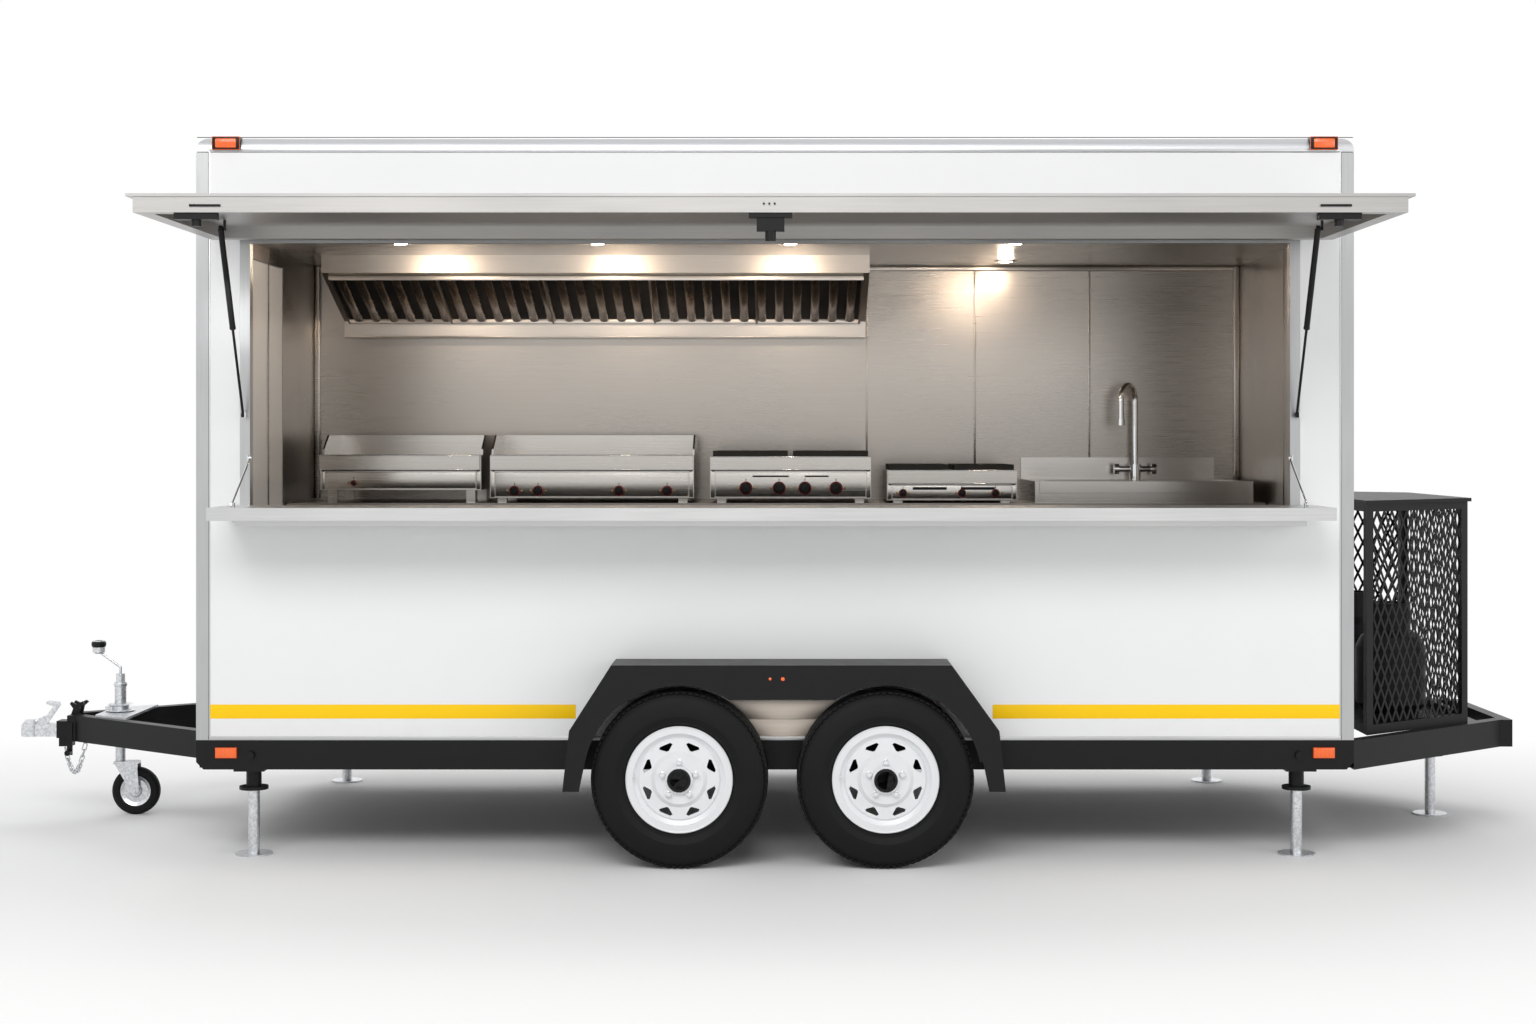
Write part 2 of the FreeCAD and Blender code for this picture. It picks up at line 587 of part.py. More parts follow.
def springs():
    """A four-leaf spring on each end of each beam, with hangers and a rocker between them."""
    seat_z = float(at.wheel_radius - at.beam_drop + at.beam_size / 2)
    half, rise = float(at.spring_half), float(at.spring_rise)
    leaf, width = float(at.leaf_thickness), float(at.spring_width)
    radius = (half ** 2 + rise ** 2) / (2 * rise)
    centre_z = seat_z + radius
    packs = []
    for x in (at.wheel_front_x, at.wheel_rear_x):
        for side in (-1, 1):
            shape = None
            for index, share in enumerate((0.42, 0.66, 0.86, 1.0)):
                low = radius - leaf * index
                face = leaf_profile(low, leaf, half * share, centre_z)
                bar = face.extrude(Vector(0, width, 0))
                shape = bar if shape is None else shape.fuse(bar)
            eye_z = seat_z + leaf * 3 + rise + float(at.eye_radius) * 0.6
            for end in (-1, 1):
                eye = Part.makeCylinder(float(at.eye_radius), width,
                                        Vector(end * half, 0, eye_z), Vector(0, 1, 0))
                shape = shape.fuse(eye)
            pad = Part.makeBox(70, width, 12, Vector(-35, 0, seat_z + leaf * 3.6))
            shape = shape.fuse(pad).removeSplitter()
            pack = solid(shape, "Spring")
            inner = at.spring_y if side > 0 else -at.spring_y - at.spring_width
            put(pack, x, inner, 0)
            packs.append(pack)
    node("leaf_springs", *packs)


def spring_hangers(side):
    """The brackets inside one rail that the spring eyes hang on, and the rocker between."""
    eye_z = (at.wheel_radius - at.beam_drop + at.beam_size / 2 + at.leaf_thickness * 3
             + at.spring_rise + at.eye_radius * 0.6)
    hangers = []
    half_w = at.hanger_width / 2
    member_bottom = at.body_bottom - at.member_height
    outer = side * (at.body_width / 2 - at.rail_width + 1)
    face = side * (at.spring_y + at.spring_width)
    for x in (at.wheel_front_x - at.spring_half, at.wheel_rear_x + at.spring_half):
        corners = ((x - half_w, at.body_bottom), (x + half_w, at.body_bottom),
                   (x + half_w * 0.7, eye_z - at.eye_radius),
                   (x - half_w * 0.7, eye_z - at.eye_radius))
        hangers.append(prism("XZ_Plane", corners, (face, outer)))
    middle = at.axle_middle_x
    reach = at.wheel_rear_x - at.spring_half - middle + at.eye_radius
    rocker = ((middle - reach, eye_z + 12), (middle - reach, eye_z - 14),
              (middle, eye_z - 34), (middle + reach, eye_z - 14), (middle + reach, eye_z + 12),
              (middle + half_w, member_bottom), (middle - half_w, member_bottom))
    hangers.append(prism("XZ_Plane", rocker, (face, outer)))
    return hangers


def mudguards():
    """A folded sheet over each pair of wheels, its skirt cut to two arches."""
    sheet_thickness = at.guard_sheet
    pieces = []
    for side in (-1, 1):
        inner_y = side * (at.body_width / 2 + at.guard_gap)
        outer_y = side * at.guard_outer_y
        shape = ((at.guard_front_end, at.guard_end_z), (at.guard_front_corner, at.guard_corner_z),
                 (at.guard_front_top, at.guard_top_z), (at.guard_rear_top, at.guard_top_z),
                 (at.guard_rear_corner, at.guard_corner_z), (at.guard_rear_end, at.guard_end_z))
        hollow = ((at.guard_front_end + sheet_thickness, at.guard_end_z - 5),
                  (at.guard_front_corner + sheet_thickness, at.guard_corner_z),
                  (at.guard_front_top + sheet_thickness * 0.6, at.guard_top_z - sheet_thickness),
                  (at.guard_rear_top - sheet_thickness * 0.6, at.guard_top_z - sheet_thickness),
                  (at.guard_rear_corner - sheet_thickness, at.guard_corner_z),
                  (at.guard_rear_end - sheet_thickness, at.guard_end_z - 5))
        block = prism("XZ_Plane", shape, (inner_y, outer_y))
        room = prism("XZ_Plane", hollow, (inner_y - side * 5, outer_y - side * sheet_thickness))
        through = (outer_y - side * 60, outer_y + side * 5)
        cuts = [room]
        for x in (at.wheel_front_x, at.wheel_rear_x):
            cuts.append(rod("y", (x, at.wheel_radius), through, at.guard_arch_radius))
        cuts.append(box((at.wheel_front_x, at.wheel_rear_x), through,
                        (at.guard_end_z - 5, at.guard_skirt_z)))
        leg = at.guard_leg
        gap = ((at.guard_front_end + leg, at.guard_end_z - 5),
               (at.guard_front_end + leg + 24, at.guard_knee_z),
               (at.guard_rear_end - leg - 24, at.guard_knee_z),
               (at.guard_rear_end - leg, at.guard_end_z - 5))
        cuts.append(prism("XZ_Plane", gap, through))
        pieces.append(cut(block, *cuts))
    node("mudguards", *pieces)


def shell():
    """Floor, four walls, corner posts, roof with its rounded edge, and a vent cowl."""
    top = at.panel_top
    node("floor", box((inner_front, inner_rear), (inner_near, inner_far),
                      (at.body_bottom, floor_top)))
    between_posts = (front + at.post_width, rear - at.post_width)
    frame_outer_x = (at.window_left - at.frame_width, at.window_right + at.frame_width)
    frame_outer_z = (at.window_bottom - at.frame_width, at.window_top + at.frame_width)
    serving = box(between_posts, (near, inner_near), (at.body_bottom, top))
    node("wall_serving", cut(serving, box(frame_outer_x, (near - 10, inner_near + 10),
                                          frame_outer_z)))
    node("wall_back", box(between_posts, (inner_far, far), (at.body_bottom, top)))
    across = (near + at.post_width, far - at.post_width)
    door_way = box((front - 10, inner_front + 10),
                   (at.door_near_y - at.door_gap, at.door_far_y + at.door_gap),
                   (at.door_bottom - at.door_gap, at.door_top + at.door_gap))
    node("wall_front", cut(box((front, inner_front), across, (at.body_bottom, top)), door_way))
    node("wall_rear", box((inner_rear, rear), across, (at.body_bottom, top)))

    posts = []
    for x in (-1, 1):
        for y in (-1, 1):
            outer_x, outer_y = x * at.body_length / 2, y * at.body_width / 2
            block = box((outer_x, outer_x - x * at.post_width),
                        (outer_y, outer_y - y * at.post_width), (at.body_bottom, top))
            notch = box((outer_x - x * at.wall_thickness, outer_x - x * (at.post_width + 1)),
                        (outer_y - y * at.wall_thickness, outer_y - y * (at.post_width + 1)),
                        (at.body_bottom - 1, top + 1))
            posts.append(cut(block, notch))

    edge = doc.addObject("PartDesign::Body", "RoofEdge")
    corners = ((front, near), (rear, near), (rear, far), (front, far))
    sketch = outline(edge, "XY_Plane", corners)
    pad = edge.newObject("PartDesign::Pad", "Pad")
    pad.Profile = sketch
    bind(pad, Length=at.roof_trim_height)
    doc.recompute()
    upper = [f"Edge{number}" for number, line in enumerate(pad.Shape.Edges, start=1)
             if line.BoundBox.ZMin > float(at.roof_trim_height) - 1]
    round_off = edge.newObject("PartDesign::Fillet", "Round")
    round_off.Base = (pad, upper)
    bind(round_off, Radius=at.roof_edge_radius)
    sketch.Visibility = False
    put(edge, 0, 0, top)
    width = at.roof_trim_width
    middle_x, middle_y = (front + width, rear - width), (near + width, far - width)
    FORMS["roof"] = edge
    roof_top = top + at.roof_trim_height
    step = box(middle_x, middle_y, (roof_top - at.roof_step, roof_top + 10))
    node("roof", cut(edge, step))
    roof_top = roof_top - at.roof_step
    neck = rod("z", (at.vent_x, at.vent_y), (roof_top, roof_top + at.vent_height * 0.6),
               at.vent_radius * 0.7)
    cowl = doc.addObject("Part::Cone", "Cowl")
    bind(cowl, Radius1=at.vent_radius, Radius2=at.vent_radius * 0.4, Height=at.vent_height * 0.45)
    put(cowl, at.vent_x, at.vent_y, roof_top + at.vent_height * 0.55)
    node("roof_vent", fuse(neck, cowl))

    frame_y = (near - at.frame_proud, near - at.frame_proud + at.frame_depth)
    frame = cut(box(frame_outer_x, frame_y, frame_outer_z),
                box((at.window_left, at.window_right), (frame_y[0] - 5, frame_y[1] + 5),
                    (at.window_bottom, at.window_top)))
    node("aluminium_trim", frame, *posts)


def hatch():
    """The hinge on the wall, and the hatch held level, hollow on its underside."""
    axis_y, axis_z = near - at.hatch_axis_out, at.hatch_axis_z
    length = (at.hatch_left, at.hatch_right)
    knuckle = rod("x", (axis_y, axis_z), length, at.hinge_radius)
    leaf = box(length, (axis_y - 2, near), (axis_z + 2, axis_z + 2 + at.hinge_leaf))
    foot = box(length, (near - at.hinge_leaf, near), (axis_z + 2, axis_z + 30))
    FORMS["wall_fittings"] = [fuse(knuckle, leaf, foot)]

    start = axis_y - at.hinge_radius - at.running_gap
    end = axis_y - at.hatch_length
    skin = box((at.hatch_left - at.hatch_lip, at.hatch_right + at.hatch_lip), (end - 5, start),
               (axis_z - at.hatch_skin, axis_z))
    tray = box(length, (end, start), (axis_z - at.hatch_depth, axis_z - at.hatch_skin + 1))
    rim = at.hatch_rim
    hollow = box((at.hatch_left + rim, at.hatch_right - rim), (end + rim, start - rim),
                 (axis_z - at.hatch_depth - 5, axis_z - at.hatch_floor))
    node("hatch", cut(fuse(skin, tray), hollow))

    under = axis_z - at.hatch_depth
    latches = []
    for x in (at.window_left + 80, at.window_right - 80):
        latches.append(fuse(box((x - 70, x + 70), (end + 6, end + 46), (under - 22, under)),
                            rod("z", (x, end + 26), (under - 44, under - 21), 16)))
    middle = (at.hatch_left + at.hatch_right) / 2
    latches.append(fuse(box((middle - 72, middle + 72), (end + 4, end + 50), (under - 16, under)),
                        box((middle - 46, middle + 46), (end + 8, end + 46),
                            (under - 60, under - 15)),
                        rod("z", (middle, end + 26), (under - 92, under - 59), 18)))
    FORMS["hatch_fittings"] = latches


def gas_struts():
    """A gas strut on each side: the tube hung in the hatch, the rod pinned to the jamb."""
    axis_y, axis_z = near - at.hatch_axis_out, at.hatch_axis_z
    top_y, top_z = axis_y - at.strut_hatch_reach, axis_z - at.strut_hatch_drop
    low_y, low_z = near - at.strut_pin_out, at.strut_pin_z
    dy, dz = float(low_y - top_y), float(low_z - top_z)
    length = math.hypot(dy, dz)
    turn = Rotation(Vector(1, 0, 0), math.degrees(math.atan2(dy, -dz)))
    columns = (at.window_left - at.frame_width / 2, at.window_right + at.frame_width / 2)
    tubes, rods = [], []
    for x in columns:
        eye = at.strut_eye_radius
        tube = rod("z", (0, 0), (-at.strut_tube_length, 0 - eye * 0.5), at.strut_tube_radius)
        cap = rod("x", (0, 0), (-6, 6), eye)
        cavity = rod("z", (0, 0), (-at.strut_tube_length - 1, -30),
                     at.strut_rod_radius + at.running_gap)
        hole = rod("x", (0, 0), (-20, 20), 4.3)
        tubes.append(put(cut(fuse(tube, cap), cavity, hole), x, top_y, top_z, turn))
        rod_low = -length
        bar = rod("z", (0, 0), (rod_low + 6, rod_low + float(at.strut_rod_length)),
                  at.strut_rod_radius)
        foot = rod("x", (0, rod_low), (-6, 6), eye)
        pin_hole = rod("x", (0, rod_low), (-20, 20), 4.3)
        rods.append(put(cut(fuse(bar, foot), pin_hole), x, top_y, top_z, turn))
        FORMS["wall_fittings"].append(
            fuse(rod("x", (low_y, low_z), (x + 6.3, x + 12), 4),
                 box((x + 7, x + 12), (low_y - 10, near - at.frame_proud),
                     (low_z - 12, low_z + 12))))
        pin_top = axis_z - at.hatch_floor
        hanger = fuse(rod("x", (top_y, top_z), (x - 6, x + 17), 4),
                      box((x + 12.5, x + 17), (top_y - 12, top_y + 12), (top_z - 10, pin_top)))
        FORMS["hatch_fittings"].append(hanger)
    node("strut_tubes", *tubes)
    node("strut_rods", *rods)
    node("hatch_fittings", *FORMS["hatch_fittings"])


def shelf():
    """The serving shelf with its bearer, hung from lugs on the wall, and two stays."""
    axis_y = near - at.shelf_axis_out
    bottom = at.shelf_top - at.shelf_thickness
    axis_z = bottom - at.shelf_axis_drop
    back = near - at.shelf_gap
    board = box((at.shelf_left, at.shelf_right), (near - at.shelf_reach, back),
                (bottom, at.shelf_top))
    bearer = box((at.under_left, at.under_right), (near - at.under_reach, axis_y),
                 (bottom - at.under_depth, bottom + 1))
    pin_y, pin_z = near - at.stay_pin_out, at.shelf_top + at.stay_pin_rise
    inset = at.stay_radius
    stays = ((at.window_left + inset, -1), (at.window_right - inset, 1))
    ears = []
    for x, side in stays:
        ears.append(box((x - side * 10, x - side * 6), (pin_y - 8, pin_y + 8),
                        (at.shelf_top - 1, pin_z + 7)))
        ears.append(rod("x", (pin_y, pin_z), (x - side * 8, x - side * 3.3), 2.5))
    node("serving_shelf", fuse(board, bearer, *ears))

    radius = at.shelf_axis_drop - at.running_gap
    for x in (at.under_left - 52, at.under_right + 20):
        ends = (x, x + at.lug_width)
        FORMS["wall_fittings"].append(
            fuse(rod("x", (axis_y, axis_z), ends, radius),
                 box(ends, (axis_y, near), (axis_z - radius, axis_z + radius))))

    top_y, top_z = near - at.stay_top_out, at.stay_top_z
    dy, dz = float(top_y - pin_y), float(top_z - pin_z)
    length = math.hypot(dy, dz)
    turn = Rotation(Vector(1, 0, 0), -math.degrees(math.atan2(dy, dz)))
    bars = []
    for x, side in stays:
        bar = rod("z", (0, 0), (8, length), at.stay_radius)
        eye = rod("x", (0, length), (-5, 5), at.stay_radius + 2)
        hole = rod("x", (0, length), (-9, 9), 2.8)
        ring = rod("x", (0, 0), (-3, 3), 8.5)
        ring_hole = rod("x", (0, 0), (-9, 9), 5.3)
        bars.append(put(cut(fuse(bar, eye, ring), hole, ring_hole), x, pin_y, pin_z, turn))
        FORMS["wall_fittings"].append(
            fuse(rod("x", (top_y, top_z), (x - side * 5.5, x + side * 10), 2.5),
                 box((x + side * 7, x + side * 11), (top_y - 5, near - at.frame_proud),
                     (top_z - 10, top_z + 10))))
    node("shelf_stays", *bars)


def front_door():
    """The entry door in the front wall, hung on three knuckles outside."""
    axis_x = front - at.door_axis_out
    axis_y = at.door_near_y
    leaf = box((front, inner_front), (at.door_near_y, at.door_far_y),
               (at.door_bottom, at.door_top))
    height = at.door_top - at.door_bottom
    knuckles, straps = [], []
    for share in (0.12, 0.5, 0.88):
        middle = at.door_bottom + height * share
        ends = (middle - at.door_knuckle_length / 2, middle + at.door_knuckle_length / 2)
        knuckles.append(fuse(
            rod("z", (axis_x, axis_y), ends, at.door_knuckle_radius),
            box((front - at.door_strap, front), (axis_y - at.door_strap_length, axis_y - 5), ends),
            box((axis_x, front - at.door_strap / 2), (axis_y - 8, axis_y - 4), ends)))
        straps.append(box((front - at.door_strap, front + 1),
                          (axis_y + at.door_knuckle_radius + at.running_gap,
                           axis_y + at.door_strap_length), ends))
    handle = fuse(box((front - 6, front + 1), (at.door_far_y - 90, at.door_far_y - 50),
                      (at.door_bottom + 860, at.door_bottom + 1040)),
                  box((front - 46, front - 5), (at.door_far_y - 78, at.door_far_y - 62),
                      (at.door_bottom + 990, at.door_bottom + 1010)),
                  box((front - 50, front - 38), (at.door_far_y - 190, at.door_far_y - 62),
                      (at.door_bottom + 988, at.door_bottom + 1012)))
    node("entry_door", fuse(leaf, *straps, handle))
    node("wall_fittings", *FORMS["wall_fittings"], *knuckles)


def interior():
    """The steel lining with its ceiling, the benches, the hood and its baffles."""
    skin = at.lining_thickness
    ceiling_top = at.ceiling_height + at.ceiling_thickness
    outer = box((inner_front, inner_rear), (inner_near, inner_far), (floor_top, ceiling_top))
    room = box((inner_front + skin, inner_rear - skin), (inner_near - 5, inner_far - skin),
               (floor_top - 5, at.ceiling_height))
    door_way = box((inner_front - 5, inner_front + skin + 5),
                   (at.door_near_y - at.door_gap, at.door_far_y + at.door_gap),
                   (floor_top - 5, at.door_top + at.door_gap))
    node("interior_lining", cut(outer, room, door_way))

    half = at.bench_half_length
    wall_y = inner_far - skin
    back = box((-half, at.sink_left), (at.bench_front_y, wall_y), (floor_top, at.bench_top))
    cabinet = box((at.sink_left, half), (at.bench_front_y, wall_y), (floor_top, at.bench_top))
    serving = box((-half, half), (inner_near, at.counter_back_y), (floor_top, at.counter_top))
    bowl = box((at.sink_left + 70, at.sink_left + 470), (at.bench_front_y + 90, wall_y - 190),
               (at.bench_top - 180, at.bench_top + 10))
    node("benches", back, serving)
    node("sink_cabinet", cut(cabinet, bowl))

    section = ((at.hood_front_y, at.ceiling_height), (at.hood_front_y, at.hood_lip_z),
               (at.hood_rear_y, at.hood_gutter_top), (at.hood_rear_y, at.hood_bottom),
               (wall_y, at.hood_bottom), (wall_y, at.ceiling_height))
    node("hood", prism("YZ_Plane", section, (at.hood_left, at.hood_right)))
    baffles()


def baffles():
    """A plate below the hood's slope with a row of V-shaped bars, as one pressed filter bank."""
    run_y = at.hood_rear_y - at.hood_front_y
    fall = at.hood_lip_z - at.hood_gutter_top
    margin, plate, depth = at.baffle_margin, at.baffle_plate, at.baffle_depth
    y0, y1 = at.hood_front_y + margin, at.hood_rear_y - margin
    z0 = at.hood_lip_z - fall * (margin / run_y).value
    z1 = at.hood_gutter_top + fall * (margin / run_y).value
    body = doc.addObject("PartDesign::Body", "Baffles")
    under = ((y0, z0), (y0, z0 - plate), (y1, z1 - plate), (y1, z1))
    sketch = outline(body, "YZ_Plane", under)
    pad = body.newObject("PartDesign::Pad", "Plate")
    pad.Profile = sketch
    bind(pad, Length=at.hood_right - at.hood_left - margin * 2)
    bar = ((y0, z0 - plate * 0.5), (y0, z0 - plate - depth), (y1, z1 - plate - depth),
           (y1, z1 - plate * 0.5))
    bar_sketch = outline(body, "YZ_Plane", bar)
    bar_pad = body.newObject("PartDesign::Pad", "Bar")
    bar_pad.Profile = bar_sketch
    bind(bar_pad, Length=at.baffle_width)
    row = body.newObject("PartDesign::LinearPattern", "Row")
    row.Originals = [bar_pad]
    row.Direction = (bar_sketch, ["N_Axis"])
    bind(row, Length=at.hood_right - at.hood_left - margin * 2 - at.baffle_width)
    row.Occurrences = int(float(at.baffle_count))
    body.Tip = row
    for thing in (sketch, bar_sketch):
        thing.Visibility = False
    put(body, at.hood_left + margin, 0, 0)
    node("hood_baffles", body)


# The cooking appliances on the back bench: left, right, front tray height above the
# bench, body height, and whether it is a griddle with a splash guard.
APPLIANCES = (
    (-2010, -1300, 57, 211, True),
    (-1261, -363, 22, 211, True),
    (-292, 417, 20, 205, False),
    (487, 1060, 12, 145, False),
)


def kitchen():
    """Griddles and hobs standing on the bench, with their knobs, and the sink with its tap."""
    front_y = at.bench_front_y + 20
    bench = at.bench_top
    cookers, knobs, grates = [], [], []
    for left, right, foot, height, griddle in APPLIANCES:
        depth_y = front_y + (470 if griddle else 430)
        top = bench + height
        block = box((left, right), (front_y, depth_y), (bench + foot, top))
        feet = [box((x, x + 40), (y, y + 40), (bench, bench + foot + 1))
                for x in (left + 30, right - 70) for y in (front_y + 30, depth_y - 70)]
        if griddle:
            rail = box((left + 4, right - 4), (front_y - 30, front_y + 1), (top - 66, top))
            guard = cut(box((left, right), (front_y + 60, depth_y), (top - 1, top + 88)),
                        box((left + 8, right - 8), (front_y + 55, depth_y - 8),
                            (top - 5, top + 93)))
            slope = solid(Part.Face(Part.makePolygon([
                Vector(left - 1, float(front_y) + 50, float(top) + 20),
                Vector(left - 1, float(front_y) + 50, float(top) + 100),
                Vector(left - 1, float(front_y) + 190, float(top) + 100),
                Vector(left - 1, float(front_y) + 50, float(top) + 20)])).extrude(
                    Vector(right - left + 2, 0, 0)))
            cookers.append(fuse(block, *feet, rail, cut(guard, slope)))
        else:
            rail = box((left + 4, right - 4), (front_y - 26, front_y + 1), (top - 60, top))
            cookers.append(fuse(block, *feet, rail))
            grates.extend(pan_grates(left, right, front_y, depth_y, top))
    node("cooking_appliances", *cookers)
    node("burner_grates", *grates)
    knob_rows = (
        (-363 - 898, (108, 212, 568, 780), bench + 40, 20),
        (-292, (158, 304, 418, 555), bench + 66, 26),
        (487, (70, 330, 478), bench + 42, 14),
        (-2010, (150,), bench + 88, 12),
    )
    for left, places, z, radius in knob_rows:
        for place in places:
            knobs.append(rod("y", (left + place, z), (front_y - 26, front_y), radius))
    node("control_knobs", *knobs)
    sink()


def pan_grates(left, right, front_y, depth_y, top):
    """Two square cast grates side by side, each a frame with a cross over its burner."""
    grates = []
    width = (right - left) / 2
    for index in (0, 1):
        x0, x1 = left + index * width + 12, left + (index + 1) * width - 12
        y0, y1 = front_y + 20, depth_y - 20
        low, high = top, top + 24
        bars = [box((x0, x1), (y0, y0 + 14), (low, high)), box((x0, x1), (y1 - 14, y1), (low, high)),
                box((x0, x0 + 14), (y0, y1), (low, high)), box((x1 - 14, x1), (y0, y1), (low, high)),
                box(((x0 + x1) / 2 - 6, (x0 + x1) / 2 + 6), (y0, y1), (low + 8, high)),
                box((x0, x1), ((y0 + y1) / 2 - 6, (y0 + y1) / 2 + 6), (low + 8, high))]
        for share in (0.25, 0.75):
            y = y0 + (y1 - y0) * share
            bars.append(rod("z", ((x0 + x1) / 2, y), (low, high - 4), 42))
            bars.append(box((x0, x1), (y - 5, y + 5), (low + 8, high)))
        grates.append(fuse(*bars))
    return grates


def sink():
    """A steel sink top with one bowl, its splash-back and a tall swan-neck tap."""
    wall_y = inner_far - at.lining_thickness
    left, right = at.sink_left, at.sink_right
    deck_top = at.bench_top + at.sink_height
    y0 = at.bench_front_y + 20
    deck = box((left, right), (y0, wall_y), (at.bench_top, deck_top))
    rail = box((left + 20, right - 20), (y0 - 18, y0 + 1), (deck_top - 50, deck_top))
    splash = box((left, right - 60), (wall_y - 14, wall_y), (deck_top - 1, deck_top + 100))
    bowl_left = left + 70
    bowl = box((bowl_left, bowl_left + 400), (at.bench_front_y + 90, wall_y - 190),
               (at.bench_top - 10, deck_top + 10))
    drainer = box((bowl_left + 450, right - 60), (y0 + 60, wall_y - 190),
                  (deck_top - 8, deck_top + 10))
    node("sink", cut(fuse(deck, rail, splash), bowl, drainer))

    x, y = at.tap_x, at.tap_y
    neck_radius, pipe = float(at.tap_bend), float(at.tap_pipe)
    rise, drop = float(at.tap_rise), float(at.tap_drop)
    start = Vector(0, 0, 0)
    top = Vector(0, 0, rise)
    crown = Vector(-neck_radius, 0, rise + neck_radius)
    over = Vector(-2 * neck_radius, 0, rise)
    end = Vector(-2 * neck_radius, 0, rise - drop)
    path = Part.Wire([Part.LineSegment(start, top).toShape(),
                      Part.Arc(top, crown, over).toShape(),
                      Part.LineSegment(over, end).toShape()])
    ring = Part.Wire([Part.makeCircle(pipe, start, Vector(0, 0, 1))])
    neck = path.makePipeShell([ring], True, False)
    neck.rotate(Vector(0, 0, 0), Vector(0, 0, 1), float(at.tap_turn))
    base = Part.makeCylinder(pipe * 1.9, 70, start)
    bar = Part.makeCylinder(13, 150, Vector(-75, 0, 48), Vector(1, 0, 0))
    handles = [Part.makeCylinder(24, 22, Vector(side * 86 - 11, 0, 48), Vector(1, 0, 0))
               for side in (-1, 1)]
    spout = Part.makeCylinder(pipe * 1.3, 30, end - Vector(0, 0, 6))
    spout.rotate(Vector(0, 0, 0), Vector(0, 0, 1), float(at.tap_turn))
    tap = solid(base.fuse([neck, bar, spout] + handles).removeSplitter(), "Tap")
    node("tap", put(tap, x, y, deck_top))


def cage_side(x):
    """Half the width of the gas cage at a place along the trailer."""
    slope = (at.cage_front_y - at.cage_rear_y) / (at.cage_rear_x - at.cage_front_x)
    return at.cage_front_y - (x - at.cage_front_x) * slope


def frame_side(x):
    """Half the width of the rear frame at a place along the trailer."""
    slope = (at.body_width / 2 - at.frame_end_y) / (at.frame_end_x - rear)
    return at.body_width / 2 - (x - rear) * slope


def trapezoid(x0, x1, half0, half1, z):
    """A plate seen from above, narrower towards the rear."""
    return prism("XY_Plane", ((x0, -half0), (x1, -half1), (x1, half1), (x0, half0)), z)


def rear_frame():
    """Two bars that close in behind the body, with a cross bar for the stand and an end bar."""
    height = (at.frame_bottom, at.frame_top)
    end_x = at.frame_end_x - at.frame_bar
    bars = []
    slant = at.frame_bar_slant
    for side in (-1, 1):
        corners = ((rear, side * frame_side(rear)), (rear, side * (frame_side(rear) - slant)),
                   (end_x, side * (frame_side(end_x) - slant)), (end_x, side * frame_side(end_x)))
        bars.append(prism("XY_Plane", corners, height))
    node("rear_frame_rails", *bars)


def gas_cage():
    """The cage: base, corner posts, rims and mesh, its lid, and two gas cylinders inside."""
    x0, x1 = at.cage_front_x, at.cage_rear_x
    y0, y1 = at.cage_front_y, at.cage_rear_y
    base_top = at.frame_top + at.cage_base
    bar = at.cage_bar
    pieces = [trapezoid(x0, x1, y0, y1, (at.frame_top, base_top))]
    rims = ((base_top - 1, base_top + bar), (at.cage_top - bar, at.cage_top - at.running_gap))
    for z in rims:
        ring = trapezoid(x0, x1, y0, y1, z)
        inside = trapezoid(x0 + bar, x1 - bar, cage_side(x0 + bar) - bar,
                           cage_side(x1 - bar) - bar, (z[0] - 5, z[1] + 5))
        pieces.append(cut(ring, inside))
    posts_z = (base_top - 1, at.cage_top - bar + 1)
    for x_low in (x0, x1 - bar):
        for side in (-1, 1):
            x_high = x_low + bar
            corners = ((x_low, side * cage_side(x_low)), (x_high, side * cage_side(x_high)),
                       (x_high, side * (cage_side(x_high) - bar)),
                       (x_low, side * (cage_side(x_high) - bar)))
            pieces.append(prism("XY_Plane", corners, posts_z))
    over = at.lid_overhang
    lid = [trapezoid(x0 - 5, x1 + over, y0 + over, y1 + over,
                     (at.cage_top, at.cage_top + at.lid_thickness))]
    axis_x, radius, width = x0 - at.lid_axis_out, at.lid_knuckle_radius, at.lid_knuckle_length
    for middle in (-y0 * 0.7, y0 * 0.7):
        for owner, start, z in ((lid, middle, (1, radius)),
                                (pieces, middle + width + 2, (-radius, -at.running_gap))):
            ends = (start, start + width)
            owner.append(rod("y", (axis_x, at.cage_top), ends, radius))
            owner.append(box((axis_x, x0 + 4), ends, (at.cage_top + z[0], at.cage_top + z[1])))
    node("gas_cage", fuse(*pieces))
    cage_mesh(base_top)
    node("cage_lid", fuse(*lid))

    profile = ((0, 0), (at.collar_radius + 30, 0), (at.collar_radius + 30, 22),
               (at.cylinder_radius - 18, 34), (at.cylinder_radius, 62),
               (at.cylinder_radius, at.cylinder_height - 70),
               (at.cylinder_radius - 22, at.cylinder_height - 26),
               (at.collar_radius, at.cylinder_height),
               (at.collar_radius, at.cylinder_height + at.collar_height),
               (at.collar_radius - 5, at.cylinder_height + at.collar_height),
               (at.collar_radius - 5, at.cylinder_height), (24, at.cylinder_height + 6),
               (24, at.cylinder_height + 50), (16, at.cylinder_height + 56),
               (16, at.cylinder_height + 88), (0, at.cylinder_height + 88))
    bottles = []
    for side in (-1, 1):
        body = doc.addObject("PartDesign::Body", "Bottle")
        sketch = outline(body, "XZ_Plane", profile)
        spin = body.newObject("PartDesign::Revolution", "Spin")
        spin.Profile = sketch
        spin.ReferenceAxis = (sketch, ["V_Axis"])
        spin.Angle = 360
        sketch.Visibility = False
        bottles.append(put(body, at.cylinder_x, side * at.cylinder_y, base_top))
    node("gas_cylinders", *bottles)


